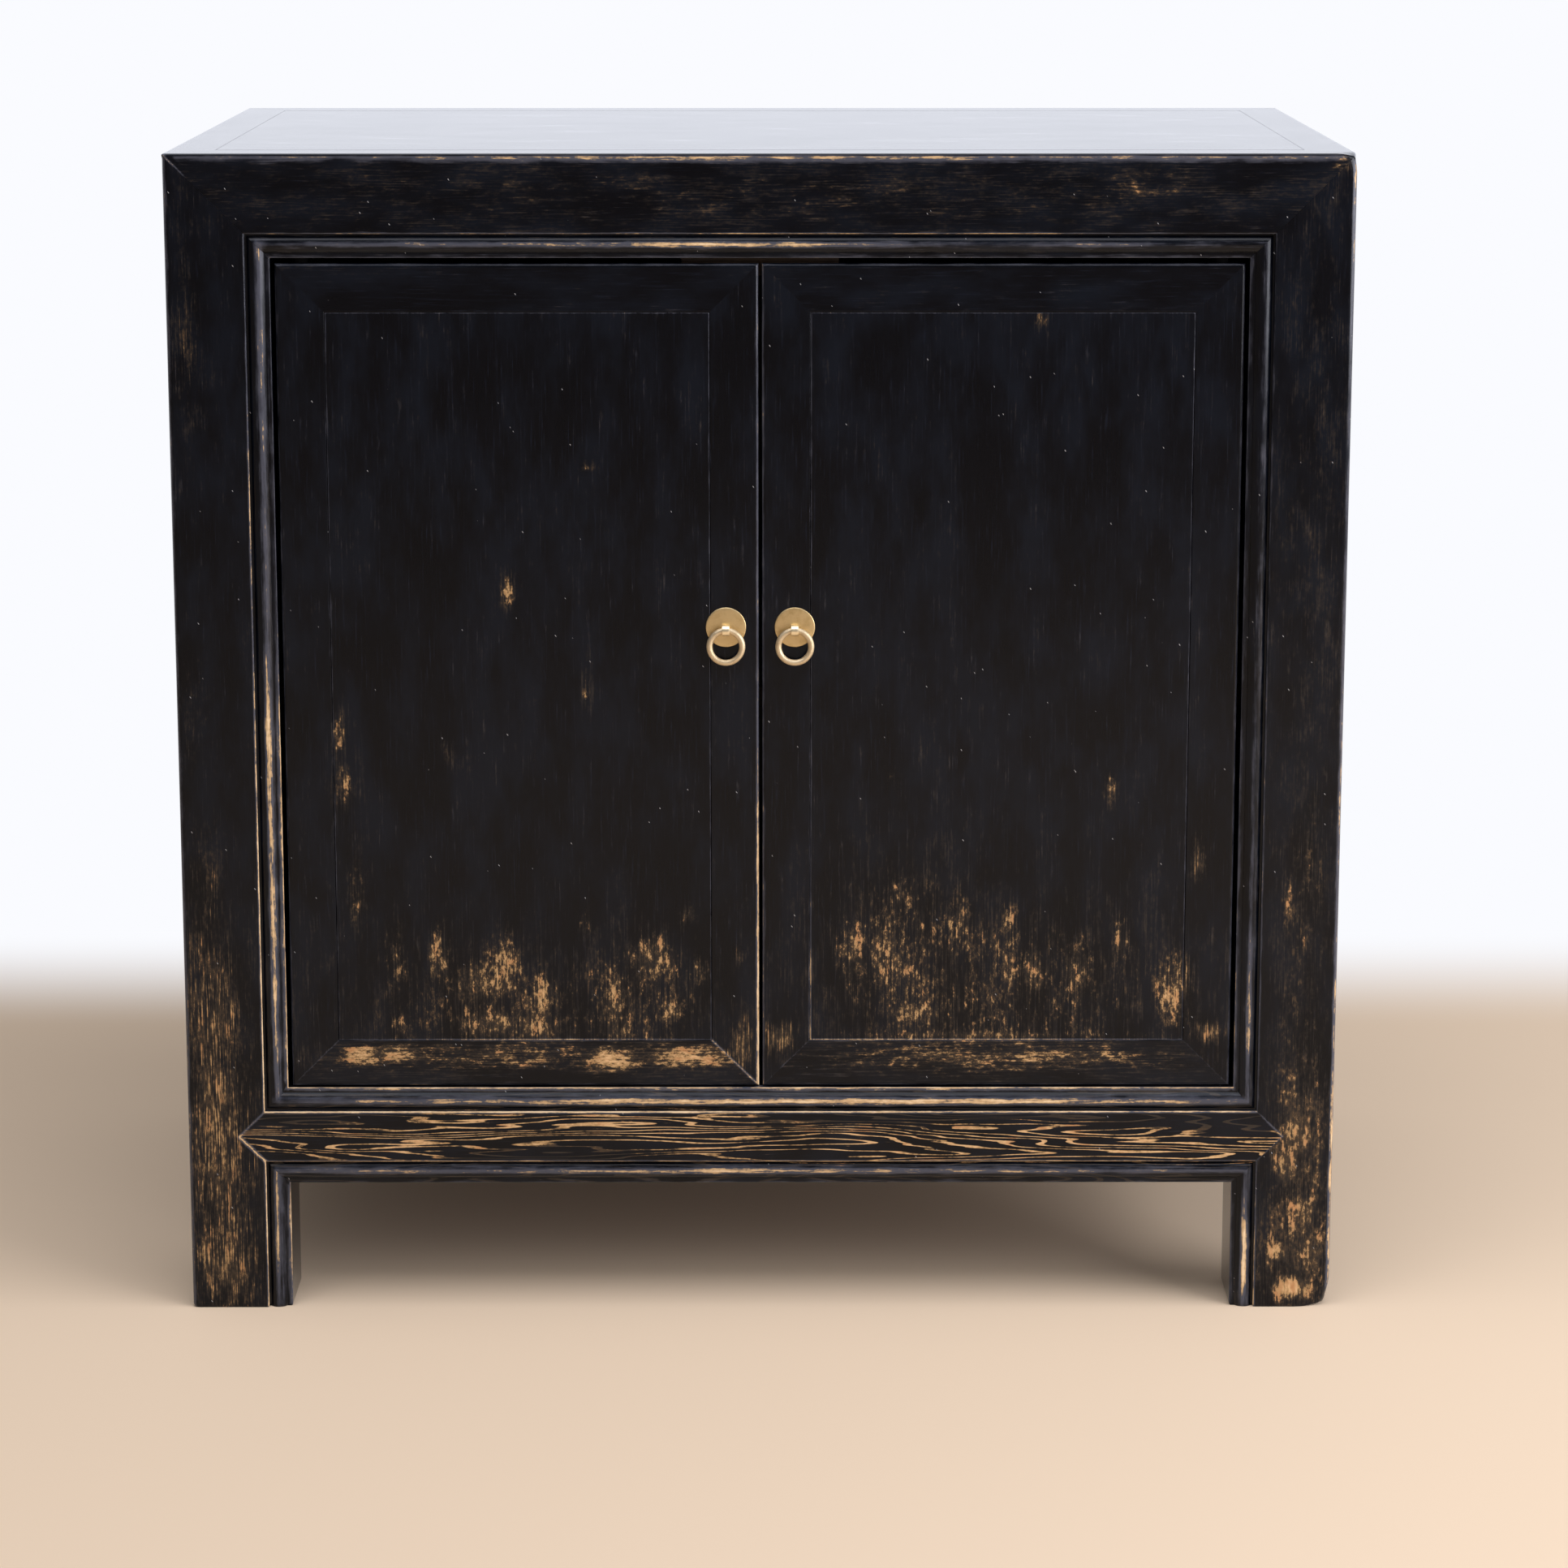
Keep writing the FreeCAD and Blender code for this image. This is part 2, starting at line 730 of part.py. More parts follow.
def door_batten(z):
    """A batten across the back of the panel, dovetailed into it and tenoned into the stiles."""
    half = door_batten_width / 2
    x0, x1 = door_left + door_frame_width, door_right - door_frame_width
    batten = box(x0, x1, door_panel_back, door_back, z - half, z + half)
    tenons = [door_batten_tenon(x, way, z) for x, way in DOOR_SIDES]
    return one_solid(batten.fuse(tenons + [door_dovetail(z)]))


# The left pull
def strap_legs():
    """The strap's two legs where they pass through the plate and the stile."""
    x, half = strap_width / 2, strap_gauge / 2
    y0, y1 = ring_y + eye_inner, door_back + strap_thickness
    return box(-pull_offset - x, -pull_offset + x, y0, y1, eye_height - half, eye_height + half)


def pull_plate():
    """The round back plate, with its front edge bevelled and a slot for the strap."""
    centre = Vector(-pull_offset, door_front, pull_height)
    plate = Part.makeCylinder(plate_diameter / 2, plate_thickness, centre, Vector(0, -1, 0))
    rim = [e for e in plate.Edges if abs(e.BoundBox.YMax - door_front + plate_thickness) < SMALL]
    return one_solid(plate.makeChamfer(plate_edge_chamfer, rim).cut(pocket(strap_legs())))


def pull_strap():
    """A flat strap bent round the ring: its legs go through the stile and are turned over behind it."""
    x0, x1 = -pull_offset - strap_width / 2, -pull_offset + strap_width / 2
    y1 = door_back + strap_thickness
    start, along = Vector(x0, ring_y, eye_height), Vector(1, 0, 0)
    eye = Part.makeCylinder(eye_outer, strap_width, start, along)
    tails = box(x0, x1, door_back, y1, eye_height - strap_tail, eye_height + strap_tail)
    split = box(x0, x1, ring_y, y1, eye_height - strap_split / 2, eye_height + strap_split / 2)
    bore = Part.makeCylinder(eye_inner, strap_width, start, along)
    return one_solid(eye.fuse([strap_legs(), tails]).cut([bore, split]))


def pull_ring():
    """The hanging ring, turned from a many-sided bar so that its mesh stays light."""
    centre = Vector(-pull_offset, ring_y, eye_height - ring_pitch)
    points = []
    for i in range(ring_facets):
        turn = 2 * math.pi * i / ring_facets
        out = ring_pitch + ring_wire / 2 * math.cos(turn)
        points.append(centre + Vector(out, ring_wire / 2 * math.sin(turn), 0))
    bar = Part.Face(Part.makePolygon(points + points[:1]))
    return bar.revolve(centre, Vector(0, 1, 0), 360)


def pair(name, shape):
    """A piece of the left side and its mirror image on the right."""
    return {f"{name}_left": shape, f"{name}_right": mirror(shape)}


def all_pieces():
    pieces = {
        "top_rail_front": end_rail(FRONT),
        "top_rail_back": end_rail(BACK),
        "top_panel": top_panel(),
        "bottom_rail_front": bottom_front_rail(),
        "bottom_rail_back": bottom_back_rail(),
        "floor_batten": floor_batten(),
        "back_mullion": back_mullion(),
        "shelf": shelf(),
        "door_stop": door_stop(),
    }
    pieces |= {f"floor_board_{i + 1}": board for i, board in enumerate(floor_boards())}
    pieces |= pair("leg_front", front_leg())
    pieces |= pair("leg_back", back_leg())
    pieces |= pair("top_rail_side", side_rail())
    pieces |= pair("top_batten", top_batten())
    pieces |= pair("bottom_rail_side", bottom_side_rail())
    pieces |= pair("side_panel", side_panel())
    pieces |= pair("back_panel", back_panel())
    pieces |= pair("shelf_bearer", shelf_bearer())
    low, high = door_batten_heights()
    pieces |= pair("door_hinge_stile", door_stile(*DOOR_SIDES[0]))
    pieces |= pair("door_meeting_stile", door_stile(*DOOR_SIDES[1]))
    pieces |= pair("door_bottom_rail", door_rail(*DOOR_ENDS[0]))
    pieces |= pair("door_top_rail", door_rail(*DOOR_ENDS[1]))
    pieces |= pair("door_panel", door_panel())
    pieces |= pair("door_batten_lower", door_batten(low))
    pieces |= pair("door_batten_upper", door_batten(high))
    pieces |= pair("pull_plate", pull_plate())
    pieces |= pair("pull_strap", pull_strap())
    pieces |= pair("pull_ring", pull_ring())
    return pieces


os.makedirs("parts", exist_ok=True)
for name, shape in all_pieces().items():
    if not shape.isValid() or len(shape.Solids) != 1:
        print("not one sound solid:", name, shape.isValid(), len(shape.Solids))
    shape.exportStep(f"parts/{name}.step")
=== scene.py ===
# %% [markdown]
# # A worn black cabinet
# The cabinet is already drawn as solids: every rail, board and pull has its place there. This lesson gives those
# pieces their looks. Each visible piece is modelled again with soft edges and enough points to paint wear on, rides
# on the body that moves it, and stands in for its solid. Lengths are written in millimetres, as on a maker's sheet.

# %% Load the solids
import json
import math

import bpy
import numpy as np
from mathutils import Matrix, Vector

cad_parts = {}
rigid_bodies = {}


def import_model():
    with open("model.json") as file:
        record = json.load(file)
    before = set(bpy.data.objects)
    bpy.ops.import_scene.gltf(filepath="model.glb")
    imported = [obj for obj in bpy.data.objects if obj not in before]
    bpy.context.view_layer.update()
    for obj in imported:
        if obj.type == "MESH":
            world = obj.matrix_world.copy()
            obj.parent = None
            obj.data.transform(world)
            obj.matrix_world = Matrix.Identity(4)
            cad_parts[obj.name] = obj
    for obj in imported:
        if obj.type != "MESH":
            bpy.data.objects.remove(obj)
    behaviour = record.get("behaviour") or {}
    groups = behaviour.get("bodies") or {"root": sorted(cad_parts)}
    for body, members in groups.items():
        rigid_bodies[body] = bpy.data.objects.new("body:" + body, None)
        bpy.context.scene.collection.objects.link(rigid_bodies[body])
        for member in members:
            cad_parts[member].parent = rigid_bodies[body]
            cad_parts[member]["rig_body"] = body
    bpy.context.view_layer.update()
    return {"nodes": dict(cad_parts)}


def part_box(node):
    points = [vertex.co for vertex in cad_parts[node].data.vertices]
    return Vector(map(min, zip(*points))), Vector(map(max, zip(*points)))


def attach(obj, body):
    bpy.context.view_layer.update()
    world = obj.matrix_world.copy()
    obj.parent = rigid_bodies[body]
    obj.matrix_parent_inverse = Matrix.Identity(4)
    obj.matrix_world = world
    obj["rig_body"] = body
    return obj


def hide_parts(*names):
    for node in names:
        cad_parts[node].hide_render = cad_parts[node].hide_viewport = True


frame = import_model()
MM = 0.001

# %% [markdown]
# ## The sizes that everything follows
# The big sizes are read from the solids, so a wider or taller cabinet is dressed by the same script. The moulding's
# own small sizes can't be read from a box, so they are repeated here.


# %% Main sizes
def box(node):
    """The two corners of a solid's box, in millimetres."""
    return [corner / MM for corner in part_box(node)]


leg_low, leg_high = box("leg_front_left")
left, front = leg_low.x, leg_low.y
opening, leg_back = leg_high.x, leg_high.y
leg_wide, leg_deep = opening - left, leg_back - front
# Plain numbers round less than corners do, and the mitre planes go through these
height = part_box("top_panel")[1].z / MM
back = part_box("leg_back_left")[1].y / MM
rail_low, rail_high = box("bottom_rail_front")
rail_bottom, rail_top, rail_back = rail_low.z, rail_high.z, rail_high.y
rail_tall, rail_middle = rail_top - rail_bottom, (rail_bottom + rail_top) / 2
point_x = opening - rail_tall / 2
door_low, door_high = box("door_meeting_stile_left")
door_front, door_bottom, door_top = door_low.y, door_low.z, door_high.z
door_back, door_inner = door_high.y, door_high.x
hinge_low, hinge_high = box("door_hinge_stile_left")
door_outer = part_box("door_hinge_stile_left")[0].x / MM
print("width", -2 * left, "height", height, "opening", opening, "door", door_outer, door_inner)

# %% Small sizes of the moulding, the rounds and the joints
FRAME_WIDE, PLAIN_THICK, PANEL_THICK = 36.0, 30.0, 14.0
OUTER_ROUND, TOP_ROUND, PLAIN_ROUND, HIDDEN_ROUND = 4.0, 1.5, 1.0, 0.5
FILLET_WIDE, FILLET_DEEP = 4.0, 4.0
BEAD_WIDE, BEAD_CREST = 13.0, 0.5
GROOVE_WIDE, GROOVE_DEEP, GROOVE_ROUND = 1.5, 3.8, 0.3
RIDGE_ROUND, ARRIS_ROUND = 1.0, 0.7
MOULD_WIDE = FILLET_WIDE + BEAD_WIDE + GROOVE_WIDE
DOOR_FRAME, LAP = 37.0, 5.0
DOOR_ROUND, DOOR_BACK_ROUND, DOOR_INNER_ROUND, DOOR_REBATE_ROUND = 2.5, 0.6, 0.3, 0.4
RAIL_ROUND, BOARD_ROUND, DOOR_BOARD_ROUND = 1.2, 0.4, 0.35
PIVOT_RADIUS, PIVOT_ROOT = 6.0, 8.0
SOCKET_RADIUS, SOCKET_HIGH, SOCKET_LOW = 6.05, 15.0, 3.7
MITRE_GAP, POINT_GAP, HAIRLINE, INTO_GROOVE = 0.06, 0.084, 0.5, 2.0
CORE_REACH = 20.0
PAST, FAR_PAST = 1.0, 5.0
ridge = leg_wide - MOULD_WIDE
crest = leg_wide - FILLET_WIDE - BEAD_WIDE / 2
pivot_x = door_outer + DOOR_FRAME / 2
pivot_y = (door_front + door_back) / 2
print("ridge", ridge, "crest", crest, "pivot", pivot_x, pivot_y)

# %% [markdown]
# ## Holding a piece and picking its edges
# An operator works on whatever is selected, and the solids arrive selected. So each step first lets go of
# everything, holds one piece, and picks edges by a test on their two ends.


# %% Hold, open, pick and close
def hold(piece):
    """Makes one piece the only one that operators act on."""
    bpy.ops.object.select_all(action="DESELECT")
    piece.select_set(True)
    bpy.context.view_layer.objects.active = piece


def open_whole(piece):
    """Opens a piece for editing with all of it selected."""
    hold(piece)
    bpy.ops.object.mode_set(mode="EDIT")
    bpy.ops.mesh.select_all(action="SELECT")


def pick_edges(piece, wanted):
    """Opens a piece for editing with only the edges selected that a test on their two ends wants."""
    hold(piece)
    bpy.ops.object.mode_set(mode="EDIT")
    bpy.ops.mesh.select_mode(type="EDGE")
    bpy.ops.mesh.select_all(action="DESELECT")
    bpy.ops.object.mode_set(mode="OBJECT")
    points = piece.data.vertices
    for edge in piece.data.edges:
        start, end = (points[i].co for i in edge.vertices)
        edge.select = wanted(start / MM, end / MM)
    bpy.ops.object.mode_set(mode="EDIT")


def close(piece):
    bpy.ops.object.mode_set(mode="OBJECT")
    return piece


def fresh(make, name, **settings):
    """Adds one simple shape with nothing else selected, names it and works its place and size into its points."""
    bpy.ops.object.select_all(action="DESELECT")
    make(**settings)
    bpy.ops.object.transform_apply(location=True, rotation=True, scale=True)
    piece = bpy.context.object
    piece.name = piece.data.name = name
    return piece


# %% [markdown]
# ## A length of wood
# A rail or leg is one section drawn out along its length, as a moulding plane leaves it. A ring of points is set to
# the section, filled and extruded, and the long edges are then sliced so that wear can be painted anywhere. A
# bevelled box would be quicker, but it has no bead, and no points on its flats.


# %% Section outlines
ROUND_STEPS = 4
GUARDS = (1.0, 2.6)


def rounded(corner, before, after, radius):
    """The points of one softened corner, from the side before it to the side after it."""
    to_before, to_after = (before - corner).normalized(), (after - corner).normalized()
    half = to_before.angle(to_after) / 2
    centre = corner + (to_before + to_after).normalized() * radius / math.sin(half)
    start = corner + to_before * radius / math.tan(half) - centre
    end = corner + to_after * radius / math.tan(half) - centre
    steps = [i / ROUND_STEPS for i in range(ROUND_STEPS + 1)]
    return [centre + (start * (1 - t) + end * t).normalized() * radius for t in steps]


def along_flat(start, end, step):
    """Points between two corners: some close to the arrises, where wear is sharp, the rest evenly spread."""
    length = (end - start).length
    if length < 4 * GUARDS[-1]:
        return []
    stations = list(GUARDS) + [length - guard for guard in reversed(GUARDS)]
    inside = stations[2] - stations[1]
    count = max(1, round(inside / step))
    spread = [stations[1] + inside * i / count for i in range(1, count)]
    return [start + (end - start) * d / length for d in stations[:2] + spread + stations[2:]]


def soft_outline(corners, step):
    """Walks a section's corners, each with its own radius, and gives the points of the whole outline."""
    spots = [Vector(corner[:2]) for corner in corners]
    turns = []
    for i, (*_, radius) in enumerate(corners):
        after = spots[(i + 1) % len(spots)]
        turns.append(rounded(spots[i], spots[i - 1], after, radius) if radius else [spots[i]])
    outline = []
    for i, turn in enumerate(turns):
        outline += turn + along_flat(turn[-1], turns[(i + 1) % len(turns)][0], step)
    return outline


# %% Bars
STEP, FINE_STEP, PLAIN_STEP, BOARD_STEP, HIDDEN_STEP = 5.0, 4.0, 6.0, 7.0, 20.0
STRAIGHT = 0.999


def lengthwise(way):
    return lambda start, end: abs((end - start).normalized().dot(way)) > STRAIGHT


def bar(name, corners, place, travel, step=STEP):
    """One length of wood, sliced along its length about every step."""
    outline = soft_outline(corners, step)
    piece = fresh(bpy.ops.mesh.primitive_circle_add, name, vertices=len(outline), fill_type="NGON")
    for point, (across, deep) in zip(piece.data.vertices, outline):
        point.co = Vector(place(across, deep)) * MM
    open_whole(piece)
    bpy.ops.mesh.extrude_region_move(TRANSFORM_OT_translate={"value": Vector(travel) * MM})
    bpy.ops.mesh.select_all(action="SELECT")
    bpy.ops.mesh.normals_make_consistent(inside=False)
    close(piece)
    cuts = round(math.sqrt(Vector(travel).length / step)) - 1
    for _ in range(2):
        pick_edges(piece, lengthwise(Vector(travel).normalized()))
        bpy.ops.mesh.subdivide(number_cuts=max(1, cuts))
        close(piece)
    return piece


def saw(piece, through, away, drop=True):
    """Saws a piece along a plane and drops the part that the arrow points to, or only leaves a ring of points."""
    open_whole(piece)
    spot = Vector(through) * MM
    bpy.ops.mesh.bisect(plane_co=spot, plane_no=away, use_fill=drop, clear_outer=drop, threshold=1e-6)
    return close(piece)


def guard_rings(piece, through, into):
    """Rings of points close beside a mitre, so that a worn line along it stays narrow."""
    into = Vector(into).normalized()
    for away in GUARDS:
        saw(piece, Vector(through) + into * away, into, drop=False)


# %% Blocks and pins that cut or add, and twins
twins = {}


def block(low, high):
    """A plain block between two corners."""
    low, high = Vector(low) * MM, Vector(high) * MM
    return fresh(bpy.ops.mesh.primitive_cube_add, "block", size=1, location=(low + high) / 2, scale=high - low)


def pin(x, low, high, radius):
    """An upright round pin where a door turns."""
    size = {"vertices": 48, "radius": radius * MM, "depth": (high - low) * MM}
    middle = Vector((x, pivot_y, (low + high) / 2)) * MM
    return fresh(bpy.ops.mesh.primitive_cylinder_add, "pin", location=middle, **size)


def work(piece, tool, operation="DIFFERENCE"):
    """Cuts a tool's room out of a piece, or joins it on, and throws the tool away."""
    hold(piece)
    change = piece.modifiers.new("joint", "BOOLEAN")
    change.operation = operation
    change.solver = "EXACT"
    change.object = tool
    bpy.ops.object.modifier_apply(modifier=change.name)
    bpy.data.objects.remove(tool)
    return piece


def mirrored(piece):
    """The same piece for the right side: a copy turned over the middle, with its faces turned out again."""
    hold(piece)
    bpy.ops.object.duplicate()
    twin = bpy.context.object
    twin.name = twin.data.name = piece.name.replace("left", "right")
    open_whole(twin)
    bpy.ops.transform.resize(value=(-1, 1, 1), center_override=(0, 0, 0))
    bpy.ops.mesh.normals_make_consistent(inside=False)
    twins[piece.name] = twin
    return close(twin)


# %% [markdown]
# ## The moulded edge
# Round the opening the wood is worked to a fillet, a half-round bead and a narrow groove, with a soft ridge where the
# flat begins. The walk starts at the inner arris, because there the lengths of all the members meet.


# %% Moulded edge
BEAD_STEPS = 16


def bead_points():
    """The bead's arc through its two ends and its crest, without the ends."""
    chord = math.hypot(BEAD_WIDE, GROOVE_DEEP - FILLET_DEEP) / 2
    rise = (FILLET_DEEP + GROOVE_DEEP) / 2 - BEAD_CREST
    radius = (chord**2 + rise**2) / (2 * rise)
    across, deep = FILLET_WIDE + BEAD_WIDE / 2, BEAD_CREST + radius
    sweeps = [math.asin(chord / radius) * (2 * i / BEAD_STEPS - 1) for i in range(1, BEAD_STEPS)]
    return [(across + radius * math.sin(sweep), deep - radius * math.cos(sweep), 0) for sweep in sweeps]


def moulded_edge():
    """Corners of the moulding, from the inner arris to the ridge: across, deep, radius."""
    edge = [(0, FILLET_DEEP, ARRIS_ROUND), (FILLET_WIDE, FILLET_DEEP, 0)] + bead_points()
    edge += [(FILLET_WIDE + BEAD_WIDE, GROOVE_DEEP, 0), (MOULD_WIDE, GROOVE_DEEP, GROOVE_ROUND)]
    return edge + [(MOULD_WIDE, 0, RIDGE_ROUND)]


def far_edge(across):
    """The same edge for the far side of a member."""
    return [(across - u, v, r) for u, v, r in reversed(moulded_edge())]


print("moulded edge", len(moulded_edge()), "corners")

# %% [markdown]
# ## Legs
# A front leg runs from the floor to the top with the moulding on its inner edge. Its head is cut to the three-way
# mitre, where leg, front rail and side rail meet in one corner, and its face is notched for the pointed end of the
# bottom rail. Planes saw the mitre. The notch has a bottom, which a plane can't leave, so a block shaped like the
# point cuts it.


# %% Front legs
def cut_leg_head(leg, way):
    """Saws a leg's head along the two mitre planes of its corner, and stands the core under the top board."""
    corner = (left, way * back, height - MITRE_GAP)
    saw(leg, corner, (1, 0, 1))
    guard_rings(leg, corner, (-1, 0, -1))
    saw(leg, corner, (0, -way, 1))
    core = FRAME_WIDE + MITRE_GAP
    near, far = sorted((way * (back - core), way * (back - leg_deep)))
    low = (left + core, near, height - leg_wide - CORE_REACH)
    high = (opening if way < 0 else left + leg_deep, far, height - PANEL_THICK)
    return work(leg, block(low, high), "UNION")


def rail_point():
    """The pointed end of the bottom rail as a cutter, larger than the point itself by the joint's gap."""
    tip = (point_x - POINT_GAP, front, rail_middle)
    low = (tip[0], front - FAR_PAST, rail_bottom - MITRE_GAP)
    shape = block(low, (opening + FAR_PAST, rail_back + MITRE_GAP, rail_top + MITRE_GAP))
    saw(shape, tip, (-1, 0, 1))
    return saw(shape, tip, (-1, 0, -1))


leg_section = [(0, leg_deep, PLAIN_ROUND), (0, 0, OUTER_ROUND)] + far_edge(leg_wide)
leg_section.append((leg_wide, leg_deep, PLAIN_ROUND))
front_leg = bar("front_leg_left", leg_section, lambda u, v: (left + u, front + v, 0), (0, 0, height))
cut_leg_head(front_leg, -1)
work(front_leg, rail_point())
for way in (-1, 1):
    guard_rings(front_leg, (point_x, front, rail_middle), (-1, 0, way))
print("front leg", len(front_leg.data.polygons), "faces")

# %% Back legs
back_section = [(0, leg_deep, PLAIN_ROUND), (0, 0, OUTER_ROUND), (leg_deep, 0, PLAIN_ROUND)]
back_section.append((leg_deep, leg_deep, PLAIN_ROUND))
back_leg = bar("back_leg_left", back_section, lambda u, v: (left + u, back - v, 0), (0, 0, height))
cut_leg_head(back_leg, 1)
print("back leg", len(back_leg.data.polygons), "faces")

# %% [markdown]
# Feet are never sharp: dragging a cabinet rounds the ends of its legs. The lowest points are drawn in towards the
# middle of the leg, a little more the lower they are, and the front right corner, which took the knocks, is worn round.


# %% Worn feet
FOOT_RINGS = (0.5, 1.3, 2.8)
FOOT_DRAW = 1.4


def soften_foot(leg):
    for ring in FOOT_RINGS:
        saw(leg, (0, 0, ring), (0, 0, 1), drop=False)
    low = [point for point in leg.data.vertices if point.co.z < FOOT_RINGS[-1] * MM]
    middle = sum((point.co for point in low), Vector()) / len(low)
    half_wide = max(abs(point.co.x - middle.x) for point in low)
    for point in low:
        share = (1 - point.co.z / MM / FOOT_RINGS[-1]) ** 2
        keep = 1 - share * FOOT_DRAW * MM / half_wide
        point.co.x = middle.x + (point.co.x - middle.x) * keep
        point.co.y = middle.y + (point.co.y - middle.y) * keep


def wear_corner_round(piece, corner, inward, reach, depth):
    """Rubs a corner away: points near it are drawn inward, the more the nearer."""
    corner, inward = Vector(corner) * MM, Vector(inward).normalized()
    for point in piece.data.vertices:
        near = 1 - (point.co - corner).length / (reach * MM)
        if near > 0:
            point.co += inward * depth * MM * near**1.5


for leg in (front_leg, back_leg):
    soften_foot(leg)
    mirrored(leg)
front_leg_right = twins[front_leg.name]
wear_corner_round(front_leg_right, (-left, front, 0), (-1, 1, 0.7), reach=26, depth=7)
print("feet worn", len(front_leg_right.data.vertices), "points")

# %% [markdown]
# ## Rails
# The top rails are mitred into the legs and into each other. The bottom rail is moulded on both edges and runs into
# the legs with its pointed ends.

# %% Top rails
LOWER_ROUND = 0.8
rail_head = [(0, FRAME_WIDE, HIDDEN_ROUND), (0, 0, TOP_ROUND)]
top_section = rail_head + far_edge(leg_wide) + [(leg_wide, FRAME_WIDE, HIDDEN_ROUND)]
plain_section = rail_head + [(leg_deep, 0, LOWER_ROUND), (leg_deep, FRAME_WIDE, HIDDEN_ROUND)]
across = (-2 * left, 0, 0)
top_rail = bar("front_top_rail", top_section, lambda u, v: (left, front + v, height - u), across)
back_rail = bar("back_top_rail", plain_section, lambda u, v: (left, back - v, height - u), across)
side_rail = bar("side_top_rail_left", plain_section, lambda u, v: (left + v, front, height - u), (0, back - front, 0))
for rail, way in ((top_rail, -1), (back_rail, 1)):
    for side in (-1, 1):
        corner = (side * (-left - MITRE_GAP), way * back, height)
        saw(rail, corner, (side, 0, -1))
        guard_rings(rail, corner, (-side, 0, 1))
        saw(rail, corner, (side, -way, 0))
for way in (-1, 1):
    corner = (left, way * (back - MITRE_GAP), height)
    saw(side_rail, corner, (1, way, 0))
    saw(side_rail, corner, (0, way, -1))
for side in (-1, 1):
    work(top_rail, pin(side * pivot_x, door_top - PAST, door_top + SOCKET_HIGH, SOCKET_RADIUS))
for piece in (front_leg_right, top_rail, mirrored(side_rail)):
    wear_corner_round(piece, (-left, front, height), (-1, 1, -1), reach=15, depth=4)
print("top rails", [len(rail.data.polygons) for rail in (top_rail, back_rail, side_rail)])

# %% Bottom rails
hidden = rail_back - front
front_section = [(0, hidden, HIDDEN_ROUND)] + moulded_edge() + far_edge(rail_tall) + [(rail_tall, hidden, HIDDEN_ROUND)]
bottom_rail = bar(
    "front_bottom_rail", front_section, lambda u, v: (left, front + v, rail_bottom + u), across, FINE_STEP
)
for side in (-1, 1):
    for way in (-1, 1):
        point = (-side * point_x, front, rail_middle)
        saw(bottom_rail, point, (side, 0, way))
        guard_rings(bottom_rail, point, (-side, 0, -way))
    work(bottom_rail, pin(side * pivot_x, rail_top - SOCKET_LOW, rail_top + FAR_PAST, SOCKET_RADIUS))
print("bottom rail", len(bottom_rail.data.polygons), "faces")


# %% Plain rails of the sides and back
def plain_bar(name, low, high, along, radius=RAIL_ROUND, step=PLAIN_STEP):
    """A straight rail or board between two corners, with soft arrises along its length."""
    low, high = Vector(low), Vector(high)
    across, deep = [axis for axis in range(3) if axis != along]
    wide, thick = high[across] - low[across], high[deep] - low[deep]
    corners = [(0, 0, radius), (wide, 0, radius), (wide, thick, radius), (0, thick, radius)]

    def place(u, v):
        spot = low.copy()
        spot[across] += u
        spot[deep] += v
        return spot

    travel = Vector()
    travel[along] = high[along] - low[along]
    return bar(name, corners, place, travel, step)


ALONG_X, ALONG_Y, ALONG_Z = 0, 1, 2
inside = back - leg_deep
beside = left + leg_deep
side_bottom = plain_bar(
    "side_bottom_rail_left", (left, -inside, rail_bottom), (left + PLAIN_THICK, inside, rail_top), ALONG_Y
)
back_bottom = plain_bar(
    "back_bottom_rail", (beside, back - PLAIN_THICK, rail_bottom), (-beside, back, rail_top), ALONG_X
)
mirrored(side_bottom)
print("plain rails", len(side_bottom.data.polygons), len(back_bottom.data.polygons))

# %% [markdown]
# ## Boards
# The boards float in grooves so that the wood can move. Only what shows between the frame members is modelled, and a
# little more that goes into the grooves. The top board lies flush in its frame, with a hairline round it.


# %% Top, side and back boards
def board(name, low, high, along):
    """A board as thick as its solid and as large as the opening it fills."""
    made = plain_bar(name, low, high, along, BOARD_ROUND, BOARD_STEP)
    print(name, len(made.data.polygons), "faces")
    return made


lip = FRAME_WIDE + HAIRLINE
groove_low, groove_high = rail_top - INTO_GROOVE, height - leg_deep + INTO_GROOVE
side_low, side_high = box("side_panel_left")
back_low, back_high = box("back_panel_left")
upright_low, upright_high = box("back_mullion")
shelf_low, shelf_high = box("shelf")
top_board = board(
    "top_board", (left + lip, front + lip, height - PANEL_THICK), (-left - lip, back - lip, height), ALONG_X
)
side_board = board(
    "side_board_left",
    (side_low.x, -inside - INTO_GROOVE, groove_low),
    (side_high.x, inside + INTO_GROOVE, groove_high),
    ALONG_Z,
)
back_board = board(
    "back_board_left",
    (beside - INTO_GROOVE, back_low.y, groove_low),
    (upright_low.x + INTO_GROOVE, back_high.y, groove_high),
    ALONG_Z,
)
upright_low.z, upright_high.z = rail_top, height - leg_deep
back_upright = plain_bar("back_upright", upright_low, upright_high, ALONG_Z, PLAIN_ROUND)
shelf_board = plain_bar("shelf_board", shelf_low, shelf_high, ALONG_X, TOP_ROUND, HIDDEN_STEP)
for made in (side_board, back_board):
    mirrored(made)

# %% [markdown]
# ## Doors
# Each door is a frame of two stiles and two rails round a flush panel. In front the corners are mitred, behind the
# stiles run through. The mitre is only a lap deep, so the stile is cut by a wedge of that depth, and the rail is
# sawn to the mitre and then cut back behind the lap. The left door is made first and turned over for the right.


